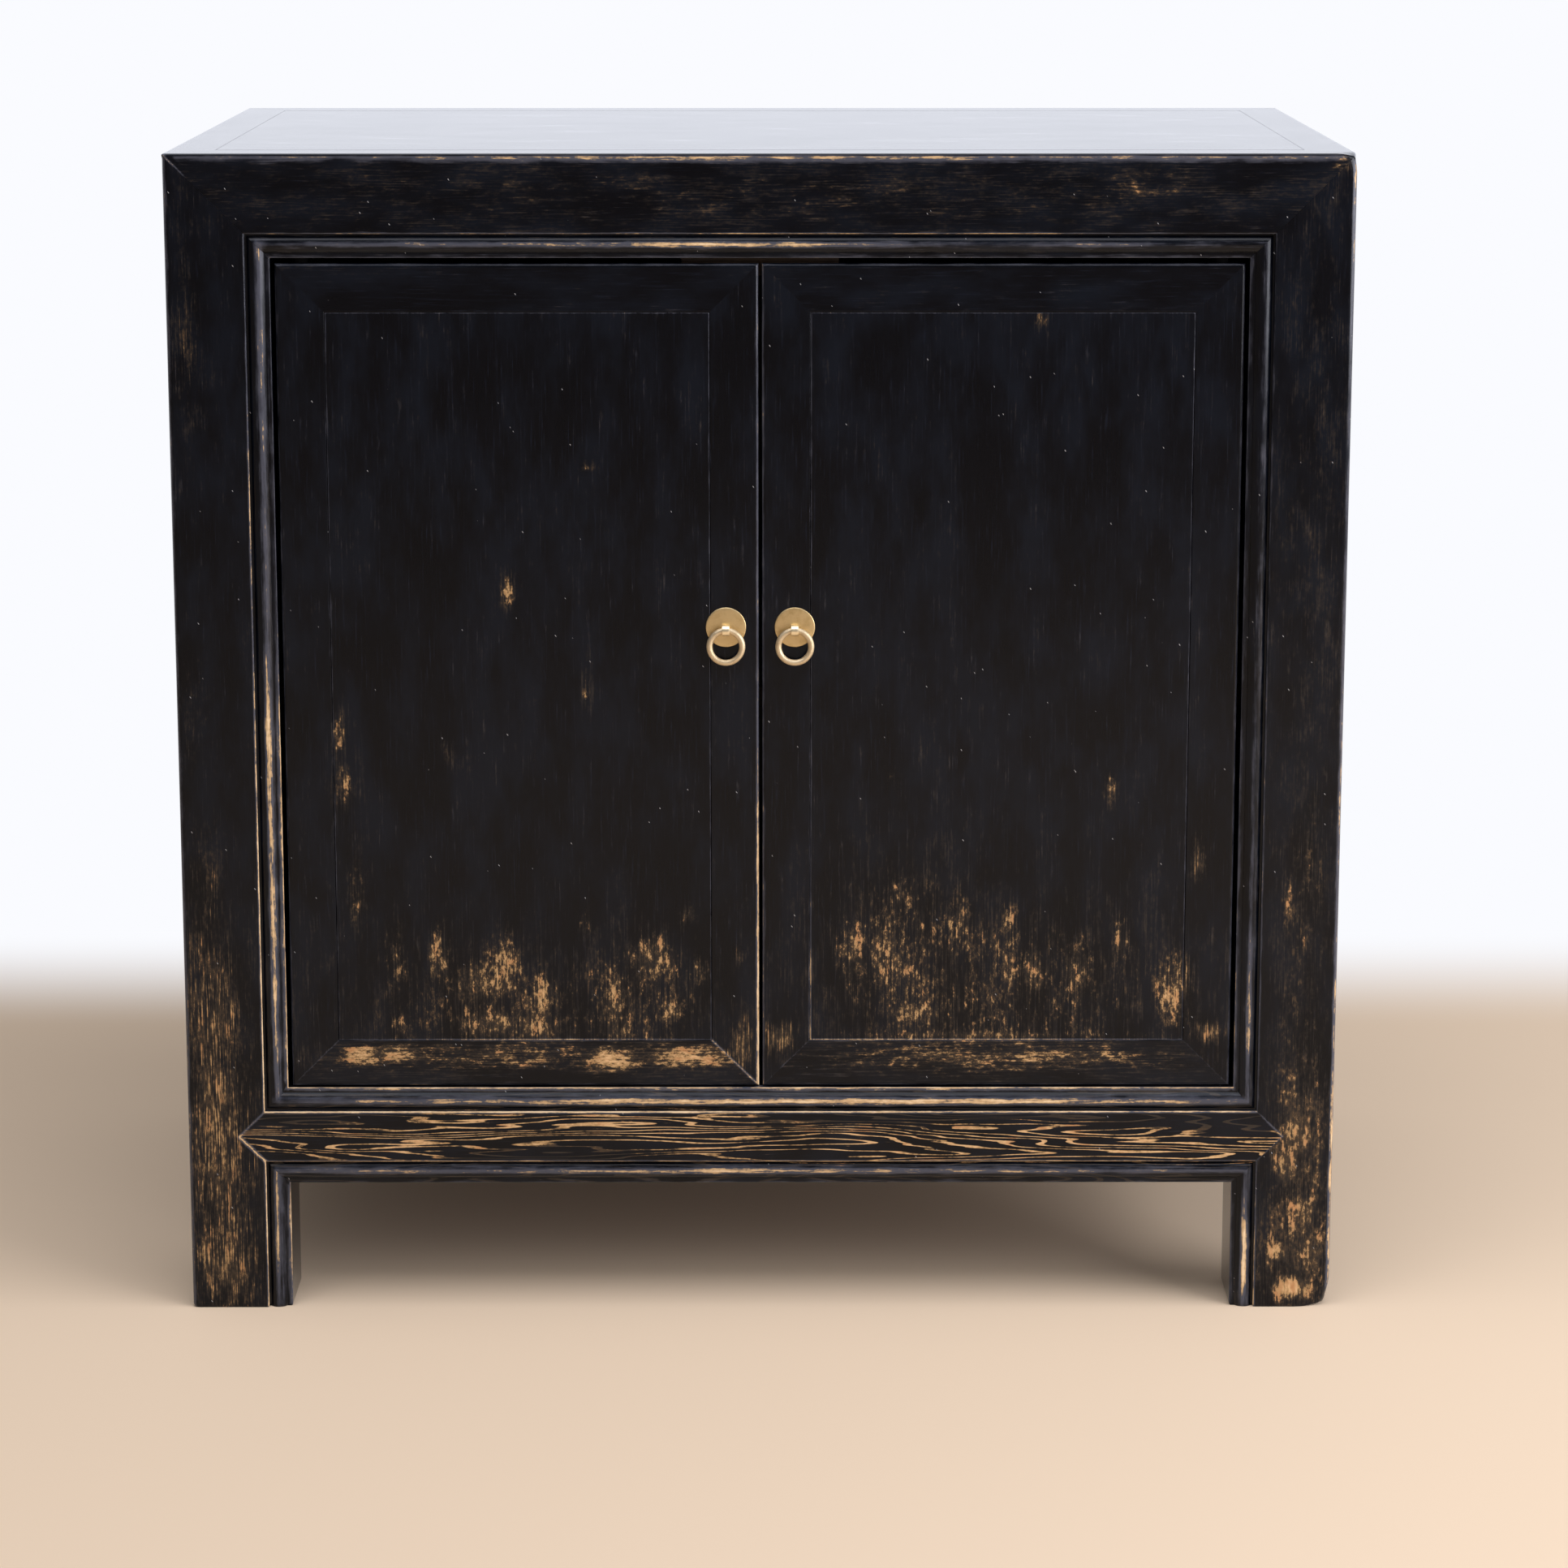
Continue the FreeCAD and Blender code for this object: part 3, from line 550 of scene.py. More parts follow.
# %% Door frames
thick = door_back - door_front
door_section = [(0, thick, DOOR_BACK_ROUND), (0, 0, DOOR_ROUND)]
door_section += [(DOOR_FRAME, 0, DOOR_INNER_ROUND), (DOOR_FRAME, thick, DOOR_REBATE_ROUND)]
lap_y = door_front + LAP


def span(outer, way, reach):
    """The two ends of a cutter at a door's corner, from just past the outer edge inwards."""
    return sorted((outer - way * PAST, outer + way * reach))


def lap_wedge(x_outer, x_way, z_outer, z_way):
    """The triangle of a door corner that belongs to the rail, as deep as the lap."""
    x, z = span(x_outer, x_way, DOOR_FRAME + PAST), span(z_outer, z_way, DOOR_FRAME + PAST)
    wedge = block((x[0], door_front - PAST, z[0]), (x[1], lap_y, z[1]))
    return saw(wedge, (x_outer + x_way * MITRE_GAP, door_front, z_outer), (-x_way, 0, z_way))


def door_stile(name, x_outer, x_way):
    travel = (0, 0, door_top - door_bottom)
    stile = bar(name, door_section, lambda u, v: (x_outer + x_way * u, door_front + v, door_bottom), travel)
    for z_outer, z_way in ((door_bottom, 1), (door_top, -1)):
        work(stile, lap_wedge(x_outer, x_way, z_outer, z_way))
        guard_rings(stile, (x_outer, door_front, z_outer), (-x_way, 0, z_way))
    return stile


def door_rail(name, z_outer, z_way):
    travel = (door_inner - door_outer, 0, 0)
    rail = bar(name, door_section, lambda u, v: (door_outer, door_front + v, z_outer + z_way * u), travel)
    for x_outer, x_way in ((door_outer, 1), (door_inner, -1)):
        corner = (x_outer + x_way * MITRE_GAP, door_front, z_outer)
        saw(rail, corner, (-x_way, 0, z_way))
        guard_rings(rail, corner, (x_way, 0, -z_way))
        x, z = span(x_outer, x_way, DOOR_FRAME), span(z_outer, z_way, DOOR_FRAME + PAST)
        work(rail, block((x[0], lap_y, z[0]), (x[1], door_back + PAST, z[1])))
    return rail


hinge_stile = door_stile("left_door_hinge_stile", door_outer, 1)
meeting_stile = door_stile("left_door_meeting_stile", door_inner, -1)
bottom_frame = door_rail("left_door_bottom_rail", door_bottom, 1)
top_frame = door_rail("left_door_top_rail", door_top, -1)
for low, high in ((hinge_low.z, door_bottom + PIVOT_ROOT), (door_top - PIVOT_ROOT, hinge_high.z)):
    work(hinge_stile, pin(pivot_x, low, high, PIVOT_RADIUS), "UNION")
print("door frame", [len(p.data.polygons) for p in (hinge_stile, meeting_stile, bottom_frame, top_frame)])

# %% Door panels
rim = DOOR_FRAME + HAIRLINE
panel_left, panel_right = door_outer + rim, door_inner - rim
panel_low, panel_high = door_bottom + rim, door_top - rim
panel = plain_bar(
    "left_door_panel",
    (panel_left, door_front, panel_low),
    (panel_right, door_front + PANEL_THICK, panel_high),
    ALONG_Z,
    DOOR_BOARD_ROUND,
    FINE_STEP,
)
for z in (panel_low + GUARDS[0], panel_high - GUARDS[0]):
    saw(panel, (0, 0, z), (0, 0, 1), drop=False)
for made in (hinge_stile, meeting_stile, bottom_frame, top_frame, panel):
    mirrored(made)
print("door panel", len(panel.data.polygons), "faces")

# %% [markdown]
# ## Pulls
# A brass plate, a strap bent round into an eye and a ring that hangs in it. The plate is a turned disc with a soft
# rim and a face that rises a hair to the middle. The strap's two legs go through plate and stile and are turned over
# behind, so it is drawn as one hairpin outline and pulled out to its width.

# %% Plates
PLATE_ROUND, PLATE_RISE, PLATE_RINGS = 0.6, 0.35, (2.0, 3.0, 4.0, 4.0)
TOUCH, NEAR = 0.01, 0.1
UPRIGHT = (math.radians(90), 0, 0)
plate_low, plate_high = box("pull_plate_left")
plate_middle = (plate_low + plate_high) / 2
plate_radius = (plate_high.x - plate_low.x) / 2
plate = fresh(
    bpy.ops.mesh.primitive_cylinder_add,
    "left_pull_plate",
    vertices=96,
    radius=plate_radius * MM,
    depth=(plate_high.y - plate_low.y) * MM,
    location=plate_middle * MM,
    rotation=UPRIGHT,
)


def on_plate_face(start, end):
    return max(start.y, end.y) < plate_low.y + TOUCH


pick_edges(plate, on_plate_face)
bpy.ops.mesh.bevel(offset=PLATE_ROUND * MM, segments=5, affect="EDGES")
close(plate)
pick_edges(plate, on_plate_face)
for ring in PLATE_RINGS:
    bpy.ops.mesh.inset(thickness=ring * MM, depth=0)
close(plate)
for point in plate.data.vertices:
    away = (point.co / MM - plate_middle).xz.length
    if point.co.y < (plate_low.y + PLATE_ROUND + NEAR) * MM:
        point.co.y += PLATE_RISE * MM * (away / plate_radius) ** 2
print("plate", len(plate.data.polygons), "faces")

# %% Straps
STRAP_THICK, STRAP_SPLIT, STRAP_ROUND = 1.2, 0.4, 0.22
BEND, INNER_BEND, EYE_STEPS = 1.0, 0.3, 40
ring_low, ring_high = box("pull_ring_left")
strap_low, strap_high = box("pull_strap_left")
ring_wire = ring_high.y - ring_low.y
ring_y = (ring_low.y + ring_high.y) / 2
eye_z = (strap_low.z + strap_high.z) / 2
eye_radius = ring_y - strap_low.y - STRAP_THICK / 2
lift = (STRAP_THICK + STRAP_SPLIT) / 2
tail_y = strap_high.y - STRAP_THICK / 2
strap_wide = strap_high.x - strap_low.x


def hairpin():
    """The strap's middle line in the side view: up tail, leg, eye, leg, down tail."""
    mouth = math.asin(lift / eye_radius)
    turns = [mouth + (2 * math.pi - 2 * mouth) * i / EYE_STEPS for i in range(EYE_STEPS + 1)]
    eye = [(ring_y + eye_radius * math.cos(t), eye_z + eye_radius * math.sin(t)) for t in turns]
    leg_z = eye_z + lift
    up = [(tail_y, strap_high.z), (tail_y, leg_z + BEND), (tail_y - INNER_BEND, leg_z + INNER_BEND)]
    up.append((tail_y - BEND, leg_z))
    down = [(y, 2 * eye_z - z) for y, z in reversed(up)]
    return [Vector(point) for point in up + eye + down]


def ribbon(line, thick):
    """The outline of a strip of even thickness along a line."""
    sides = ([], [])
    for i, point in enumerate(line):
        way = (line[min(i + 1, len(line) - 1)] - line[max(i - 1, 0)]).normalized()
        out = Vector((-way.y, way.x)) * thick / 2
        sides[0].append(point + out)
        sides[1].append(point - out)
    return [(p.x, p.y, 0) for p in sides[0] + sides[1][::-1]]


outline = ribbon(hairpin(), STRAP_THICK)
strap = bar("left_pull_strap", outline, lambda y, z: (strap_low.x, y, z), (strap_wide, 0, 0), strap_wide / 4)
hold(strap)
soft = strap.modifiers.new("soft", "BEVEL")
soft.width, soft.segments, soft.limit_method = STRAP_ROUND * MM, 2, "ANGLE"
soft.angle_limit = math.radians(60)
bpy.ops.object.modifier_apply(modifier=soft.name)
print("strap", len(strap.data.polygons), "faces")

# %% Rings
SEAM_DEEP, SEAM_HALF = 0.15, 0.05
ring_radius = (ring_high.x - ring_low.x - ring_wire) / 2
ring_middle = (ring_low + ring_high) / 2
ring = fresh(
    bpy.ops.mesh.primitive_torus_add,
    "left_pull_ring",
    major_segments=96,
    minor_segments=32,
    major_radius=ring_radius * MM,
    minor_radius=ring_wire / 2 * MM,
    location=ring_middle * MM,
    rotation=UPRIGHT,
)
upper = [point for point in ring.data.vertices if point.co.z / MM > ring_middle.z]
seam = [point for point in upper if abs(point.co.x / MM - ring_middle.x) < SEAM_HALF]
heart = (ring_middle + Vector((0, 0, ring_radius))) * MM
for point in seam:
    point.co += (heart - point.co).normalized() * SEAM_DEEP * MM
for made in (plate, strap, ring):
    mirrored(made)
print("ring", len(ring.data.polygons), "faces, seam", len(seam), "points")

# %% [markdown]
# ## Where the lacquer is worn
# Years of hands, feet and cleaning have rubbed the black lacquer through to the wood: along arrises, low on the doors
# and legs, and over the whole bottom rail. Two values are painted on the points of each piece. One says how far a flat
# is rubbed, from listed soft ovals. The other says how worn an arris is, from lines with strengths along them.
# The finish then breaks both up into flecks and streaks, which points alone are too coarse for. Strengths are written
# in percent.

# %% Rubbed places on the front and back: across, height, half width, half height, strength
RUBBED_DOORS = [
    (-313, 206, 11, 5, 86), (-284, 207, 15, 5, 82), (-210, 205, 21, 5, 50), (-117, 201, 15, 7, 86),
    (-59, 205, 27, 6, 78), (-250, 284, 7, 22, 45), (-222, 264, 16, 17, 46), (-201, 276, 11, 25, 42),
    (-169, 255, 10, 12, 48), (-223, 231, 17, 9, 50), (-204, 231, 12, 9, 50), (-178, 229, 16, 9, 48),
    (-114, 251, 10, 22, 48), (-87, 284, 16, 17, 42), (-70, 241, 7, 9, 52), (-46, 274, 7, 11, 42), (-57, 319, 4, 7, 50),
    (-137, 310, 3, 9, 42), (-285, 284, 9, 28, 30), (-282, 229, 7, 9, 32), (-315, 336, 6, 25, 28),
    (-15, 215, 7, 19, 45), (-15, 287, 4, 6, 35), (-114, 226, 11, 7, 48), (-194, 576, 5, 9, 43), (-326, 464, 4, 19, 33),
    (-324, 422, 6, 14, 38), (-131, 673, 4, 2, 50), (-242, 448, 4, 9, 30), (-135, 499, 3, 11, 30), (71, 286, 9, 22, 42),
    (96, 293, 11, 24, 42), (109, 335, 6, 16, 38), (156, 315, 6, 17, 45), (122, 240, 19, 7, 44), (194, 312, 6, 15, 36),
    (213, 273, 9, 16, 45), (248, 273, 9, 20, 46), (324, 257, 11, 25, 48), (341, 364, 5, 16, 45), (350, 224, 10, 7, 50),
    (198, 203, 93, 7, 34), (15, 220, 11, 10, 52), (214, 786, 4, 5, 40), (271, 419, 4, 10, 40), (102, 429, 4, 9, 30),
    (182, 222, 87, 4, 40), (282, 299, 6, 19, 36), (-200, 240, 110, 44, 25), (-90, 250, 55, 52, 24),
    (180, 255, 115, 58, 29), (110, 305, 55, 50, 26), (-200, 203, 140, 9, 30), (180, 203, 130, 10, 34),
]
RUBBED_FRAME = [
    (-429, 181, 17, 68, 41), (-421, 253, 12, 31, 38), (-427, 108, 16, 37, 45), (-423, 35, 20, 28, 46),
    (-444, 240, 4, 50, 30), (-434, 771, 9, 56, 22), (-432, 351, 11, 28, 26), (-439, 487, 6, 37, 20),
    (421, 145, 9, 22, 60), (434, 169, 7, 11, 45), (415, 115, 7, 11, 62), (430, 82, 7, 11, 50), (409, 45, 6, 5, 85),
    (422, 16, 13, 7, 85), (436, 42, 5, 12, 65), (424, 364, 9, 46, 28), (411, 328, 6, 22, 28), (-108, 889, 21, 6, 20),
    (284, 890, 26, 12, 16), (311, 899, 22, 4, 17), (439, 904, 10, 6, 35), (-286, 892, 37, 11, 16),
    (-421, 150, 28, 110, 30), (-421, 40, 26, 42, 32), (-430, 280, 14, 60, 28), (424, 130, 22, 80, 38),
    (430, 60, 18, 50, 36), (424, 230, 18, 60, 24), (425, 330, 20, 60, 24), (280, 885, 60, 16, 17),
    (418, 32, 28, 34, 38), (0, 880, 460, 30, 18), (425, 620, 30, 260, 15),
]
RUBBED_RAIL = [
    (-316, 136, 74, 12, 40), (-225, 146, 70, 10, 54), (-80, 149, 60, 10, 57), (40, 135, 112, 12, 46),
    (190, 137, 125, 12, 46), (345, 130, 72, 9, 45), (410, 141, 7, 6, 75), (-386, 141, 25, 6, 34),
]
RUBBED_BACK = [
    (-425, 60, 16, 50, 42), (425, 80, 16, 55, 42), (-150, 140, 120, 14, 34), (230, 140, 90, 12, 32),
    (-230, 200, 110, 22, 24), (40, 888, 160, 8, 24),
]
# Rubbed places on the sides: distance from the front leg's face, height, half width, half height, strength
RUBBED_SIDES = [
    (30, 60, 18, 50, 42), (480, 70, 18, 55, 42), (250, 140, 130, 14, 36), (150, 215, 50, 26, 30),
    (350, 225, 60, 36, 28), (250, 200, 130, 16, 26), (30, 330, 10, 70, 26), (250, 885, 120, 8, 24),
]
print("rubbed places", sum(map(len, (RUBBED_DOORS, RUBBED_FRAME, RUBBED_RAIL, RUBBED_SIDES, RUBBED_BACK))))


# %% Worn arrises: where they run, reach, strengths spread evenly from start to end
def worn(start, end, reach, strengths):
    return Vector(start), Vector(end), reach, np.array(strengths) / 100


def upright(x, y, z0, z1, reach, *strengths):
    return worn((x, y, z0), (x, y, z1), reach, strengths)


def level(y, z, x0, x1, reach, *strengths):
    return worn((x0, y, z), (x1, y, z), reach, strengths)


def deep(x, z, y0, y1, reach, *strengths):
    return worn((x, y0, z), (x, y1, z), reach, strengths)


def slant(x0, z0, x1, z1, y, reach, *strengths):
    return worn((x0, y, z0), (x1, y, z1), reach, strengths)


# How far inside its box a rounded corner or a door's edge lies
CORNER_IN, DOOR_IN = 1.2, 0.7
RIDGE_Y, CREST_Y, ARRIS_Y, EDGE_Y = front + 0.3, front + BEAD_CREST, front + FILLET_DEEP, door_front + DOOR_IN
ridge_x, crest_x = left + ridge, left + crest
top_ridge, top_crest, top_arris = height - ridge, height - crest, height - leg_wide
low_ridge, low_crest = rail_bottom + MOULD_WIDE, rail_bottom + leg_wide - crest
high_ridge, high_crest = rail_top - MOULD_WIDE, rail_top - leg_wide + crest
WORN_JAMBS = [
    upright(ridge_x, RIDGE_Y, top_ridge, high_ridge, 1.1, 30, 30, 50, 80, 45, 90, 95, 100, 100, 100),
    upright(crest_x + 2, CREST_Y, top_crest, high_crest, 2.4, 10, 50, 15, 12, 15, 95, 80, 75, 80, 35),
    upright(opening, ARRIS_Y, top_arris, rail_top, 0.9, 30, 30, 35, 35, 45, 85, 90, 90, 100, 100),
    upright(-ridge_x, RIDGE_Y, top_ridge, high_ridge, 1.1, 20, 20, 25, 25, 30, 35, 40, 50, 50, 40),
    upright(-crest_x, CREST_Y, top_crest, high_crest, 2.0, 10, 10, 12, 12, 15, 20, 20, 30, 75, 20),
    upright(-opening, ARRIS_Y, top_arris, rail_top, 0.9, 30, 30, 30, 30, 30, 35, 40, 45, 50, 50),
    upright(ridge_x, RIDGE_Y, low_ridge, 0, 1.1, 90, 100, 90, 80),
    upright(crest_x, CREST_Y, low_crest, 0, 2.2, 50, 80, 60, 30),
    upright(opening, ARRIS_Y, rail_bottom, 0, 0.9, 80, 90, 70),
    upright(-ridge_x, RIDGE_Y, low_ridge, 0, 1.2, 30, 50, 75, 80),
    upright(-crest_x, CREST_Y, low_crest, 0, 2.6, 15, 40, 95, 95, 30),
    upright(-opening, ARRIS_Y, rail_bottom, 0, 0.9, 30, 40, 40),
    upright(left + CORNER_IN, front + CORNER_IN, height - OUTER_ROUND, 0, 2.0, 40, 30, 30, 30, 30, 35, 40, 45, 40, 45),
    upright(-left - CORNER_IN, front + CORNER_IN, height - OUTER_ROUND, 0, 2.2, 70, 35, 30, 30, 40, 45, 50, 55, 85, 60),
]
WORN_RAILS = [
    level(RIDGE_Y, top_ridge, ridge_x, -ridge_x, 1.0, 30, 55, 50, 55, 60, 70, 75, 60, 65, 65, 50, 30, 30),
    level(CREST_Y, top_crest, crest_x, -crest_x, 2.2, 10, 40, 45, 45, 50, 80, 85, 50, 30, 25, 35, 25, 10),
    level(ARRIS_Y, top_arris, opening, -opening, 0.9, 35, 35),
    level(front, height - 3, left + 10, -left - 10, 1.5, 40, 45, 45, 65, 75, 80, 80, 70, 60, 65, 50, 50),
    level(ARRIS_Y, rail_top, opening, -opening, 1.0, 90, 100, 100, 100, 90, 100, 100, 90, 80, 70),
    level(CREST_Y, high_crest, crest_x, -crest_x, 3.0, 30, 45, 60, 80, 75, 85, 90, 78, 70, 40),
    level(RIDGE_Y, high_ridge, ridge_x, -ridge_x, 1.2, 90, 100, 100, 100, 100, 95, 90, 90, 80, 70),
    level(RIDGE_Y, low_ridge, ridge_x, -ridge_x, 1.0, 80, 95, 90, 80, 90, 95, 90, 85, 80, 60),
    level(CREST_Y, low_crest, crest_x, -crest_x, 2.4, 30, 50, 45, 55, 75, 78, 55, 45, 40, 35),
    level(ARRIS_Y, rail_bottom, opening, -opening, 0.9, 30, 30),
    slant(left + 2, height - 2, left + 18, height - 18, front, 0.8, 65, 20),
    slant(ridge_x, high_ridge, point_x, rail_middle, front, 1.0, 50, 60),
    slant(point_x, rail_middle, ridge_x, low_ridge, front, 1.2, 100, 100),
    slant(-ridge_x, high_ridge, -point_x, rail_middle, front, 1.0, 25, 60),
    slant(-point_x, rail_middle, -ridge_x, low_ridge, front, 1.0, 30, 20),
]
WORN_DOORS = [
    upright(door_inner - DOOR_IN, EDGE_Y, door_top, door_bottom, 1.5, 30, 35, 40, 40, 45, 50, 60, 90, 100, 100),
    upright(-door_inner + DOOR_IN, EDGE_Y, door_top, door_bottom, 1.3, 35, 35, 35, 35, 40, 45),
    upright(door_outer + DOOR_IN, EDGE_Y, door_top, door_bottom, 1.3, 20, 25, 30, 30),
    upright(-door_outer - DOOR_IN, EDGE_Y, door_top, door_bottom, 1.3, 25, 25, 30, 30),
    level(EDGE_Y, door_bottom + DOOR_IN, door_outer, -door_outer, 1.2, 35, 35),
    level(EDGE_Y, door_top - DOOR_IN, door_outer, -door_outer, 1.2, 25, 25),
    level(door_front, panel_low, panel_left, panel_right, 0.7, 30, 50, 85, 85, 60, 40),
    level(door_front, panel_low, -panel_right, -panel_left, 0.7, 85, 90, 80, 85, 60, 40),
    level(door_front, panel_high, panel_left, panel_right, 0.6, 30, 32),
    level(door_front, panel_high, -panel_right, -panel_left, 0.6, 32, 30),
    upright(panel_left, door_front, panel_high, panel_low, 0.6, 34, 30, 28),
    upright(panel_right, door_front, panel_high, panel_low, 0.6, 30, 26, 28),
    upright(-panel_right, door_front, panel_high, panel_low, 0.7, 34, 32, 30, 30, 40, 95),
    upright(-panel_left, door_front, panel_high, panel_low, 0.6, 26, 26, 34),
    slant(panel_right, panel_low, door_inner, door_bottom, door_front, 0.9, 62, 72),
    slant(-panel_right, panel_low, -door_inner, door_bottom, door_front, 0.8, 20, 16),
    slant(panel_left, panel_low, door_outer, door_bottom, door_front, 0.8, 25, 16),
    slant(-panel_left, panel_low, -door_outer, door_bottom, door_front, 0.8, 16, 16),
]
edge_y, edge_z = back - CORNER_IN, height - CORNER_IN
WORN_SIDES = [level(edge_y, edge_z, left, -left, 2.0, 40, 40)]
for edge in (left + CORNER_IN, -left - CORNER_IN):
    WORN_SIDES += [
        upright(edge, edge_y, height - OUTER_ROUND, 0, 2.0, 40, 35, 35, 40, 50),
        deep(edge, edge_z, front, back, 2.0, 50, 40, 45, 40),
        deep(edge, rail_bottom, -inside, inside, 1.4, 45, 50, 45),
        deep(edge, rail_top, -inside, inside, 1.4, 50, 45, 50),
    ]
BEAD_REACH = 3.8
# Grey worn polish on the beads, laid on the flanks that face the window and the ceiling lamp: partly a painted sheen
BEAD_GREY_AND_PAINTED_SHEEN = [
    upright(crest_x + 3, CREST_Y, top_crest, high_crest, BEAD_REACH, 44, 44, 36, 32, 34, 38, 38, 38),
    upright(-crest_x + 3, CREST_Y, top_crest, high_crest, BEAD_REACH, 22, 18, 14, 14, 16),
    upright(crest_x + 3, CREST_Y, low_crest, 0, BEAD_REACH, 30, 25),
    upright(-crest_x + 3, CREST_Y, low_crest, 0, BEAD_REACH, 16, 20),
    level(CREST_Y, top_crest, crest_x, -crest_x, BEAD_REACH, 12, 16, 20, 16, 14),
    level(CREST_Y, high_crest + 2, crest_x, -crest_x, BEAD_REACH, 30, 30, 28),
    level(CREST_Y, low_crest + 2, crest_x, -crest_x, BEAD_REACH, 28, 24, 22),
]
WORN_LINES = WORN_JAMBS + WORN_RAILS + WORN_DOORS + WORN_SIDES + BEAD_GREY_AND_PAINTED_SHEEN
print("worn lines", len(WORN_LINES))

# %% Paint the wear on a piece
FRONT_BAND, SIDE_BAND = 12.0, 8.0
SOFT_MAX, SPREAD = 4, 1.45


def soft_ovals(across, up, ovals):
    """The strongest of many soft ovals at each point, without creases where they meet."""
    total = np.zeros(len(across))
    for x, z, half_wide, half_high, strength in ovals:
        away = (((across - x) / half_wide) ** 2 + ((up - z) / half_high) ** 2) / SPREAD**2
        total += (strength / 100 * np.exp(-away)) ** SOFT_MAX
    return total ** (1 / SOFT_MAX)


def worn_lines(points, lines):
    """The strongest worn arris at each point."""
    strongest = np.zeros(len(points))
    for start, end, reach, strengths in lines:
        origin, way = np.array(start), np.array(end - start)
        share = np.clip((points - origin) @ way / (way @ way), 0, 1)
        away = np.linalg.norm(points - origin - share[:, None] * way, axis=1) / reach
        strength = np.interp(share, np.linspace(0, 1, len(strengths)), strengths)
        strongest = np.maximum(strongest, strength * np.exp(-(away**2)))
    return strongest


def paint_wear(piece, ovals):
    """Writes how far each point is rubbed, and how worn the arris is that it lies on, with a painted sheen on the
    beads.
    """
    points = np.empty(len(piece.data.vertices) * 3, dtype=np.float32)
    piece.data.vertices.foreach_get("co", points)
    points = points.reshape(-1, 3) / MM
    x, y, z = points.T
    on_front = y < front + FRONT_BAND
    on_side = (np.abs(x) > -left - SIDE_BAND) & ~on_front
    rub = np.where(on_front, soft_ovals(x, z, ovals), 0)
    rub = np.where(on_side, soft_ovals(y - front, z, RUBBED_SIDES), rub)
    rub = np.where(y > back - SIDE_BAND, soft_ovals(x, z, RUBBED_BACK), rub)
    for name, values in (("rub", rub), ("arris", worn_lines(points, WORN_LINES))):
        layer = piece.data.attributes.new(name, "FLOAT", "POINT")
        layer.data.foreach_set("value", values.astype(np.float32))
    return float(rub.max())


# %% [markdown]
# ## One way to add a node, and one to write a colour
# Colours are written as they look, in hex, and turned to the linear values that light needs. One function adds a node
# with its settings and its links, so a finish reads as a list of what it is made of.


# %% Colour and node helpers
def tint(code):
    """A hex colour as linear red, green and blue, with full alpha."""
    parts = [int(code[i : i + 2], 16) / 255 for i in (1, 3, 5)]
    return [c / 12.92 if c <= 0.04045 else ((c + 0.055) / 1.055) ** 2.4 for c in parts] + [1.0]


def plug(tree, node, *values, **words):
    """Sets a node up and gives its outputs. Values and links fill its sockets in order, by a name with a capital
    letter, or by a number as in n6. The other words are its settings."""
    sockets = dict(enumerate(values))
    for word, value in words.items():
        if word[0].isupper():
            sockets[word.replace("_", " ")] = value
        elif word[1:].isdigit():
            sockets[int(word[1:])] = value
        else:
            setattr(node, word, value)
    for key, value in sockets.items():
        if isinstance(value, bpy.types.NodeSocket):
            tree.links.new(value, node.inputs[key])
        else:
            node.inputs[key].default_value = value
    return node.outputs


def add(tree, kind, *values, **words):
    """Adds one node and sets it up."""
    return plug(tree, tree.nodes.new("ShaderNode" + kind), *values, **words)


def new_finish(name):
    finish = bpy.data.materials.new(name)
    finish.use_nodes = True
    return finish, finish.node_tree, finish.node_tree.nodes["Principled BSDF"]


# %% Patterns that the finishes share
SMOOTH = {"interpolation_type": "SMOOTHSTEP"}
COLOURS = {"data_type": "RGBA"}


def shade(tree, colour, value, low, high, code):
    """A colour that turns to another as a value climbs from low to high."""
    share = add(tree, "MapRange", value, low, high, **SMOOTH)[0]
    return add(tree, "Mix", share, n6=colour, n7=tint(code), **COLOURS)[2]


def along_grain(tree, place, along, size, stretch, detail, roughness=0.6):
    """Spots that are a size in millimetres wide and drawn out along the grain."""
    squeeze = [1.0, 1.0, 1.0]
    squeeze[along] = 1 / stretch
    spot = add(tree, "Mapping", Vector=place, Scale=squeeze)[0]
    return add(tree, "TexNoise", Vector=spot, Scale=1 / (size * MM), Detail=detail, Roughness=roughness)[0]


def weighed(tree, base, *parts):
    """A base value plus patterns, each taken about its middle and times its weight."""
    for value, weight in parts:
        swing = add(tree, "Math", value, 0.5, operation="SUBTRACT")[0]
        base = add(tree, "Math", swing, weight, base, operation="MULTIPLY_ADD")[0]
    return base


def broken_up(tree, painted, full, parts):
    """A painted value broken up by patterns, which are at full strength from one value on and gone where it is 0."""
    chance = weighed(tree, 0.0, *parts)
    share = add(tree, "MapRange", painted, 0.0, full, **SMOOTH)[0]
    return add(tree, "Math", chance, share, painted, operation="MULTIPLY_ADD")[0]


# %% [markdown]
# ## Worn black lacquer
# Old lacquer is a thin black skin over softwood, rubbed to a satin. It gives the eye three things: a deep black that
# mirrors pale light only at low angles, brown where it has gone thin, and tan wood where it is gone. A painted mask
# alone would look like paint spots, so the painted values only set how likely wear is, and noise with the grain's
# own sizes decides. Flecks are a few millimetres wide, streaks about 1 mm wide and 28 times as long. On the beads and
# lightly worn arrises the polish has gone grey, and on the bead flanks that face the lamps a painted sheen is laid in
# the
# same grey: a weak painted line shows both before any wood comes through.

# %% What the lacquer is made of
# Patterns: size, stretch along the grain, detail, roughness
FLECK, STREAK, PATCH = (2.4, 2.0, 6.0, 0.65), (1.0, 28.0, 4.0), (32.0, 2.5, 3.0)
BREAK, FIGURE, FIGURE_LINES = (8.0, 3.0, 4.0, 0.65), (22.0, 16.0, 3.0, 0.4), 130.0
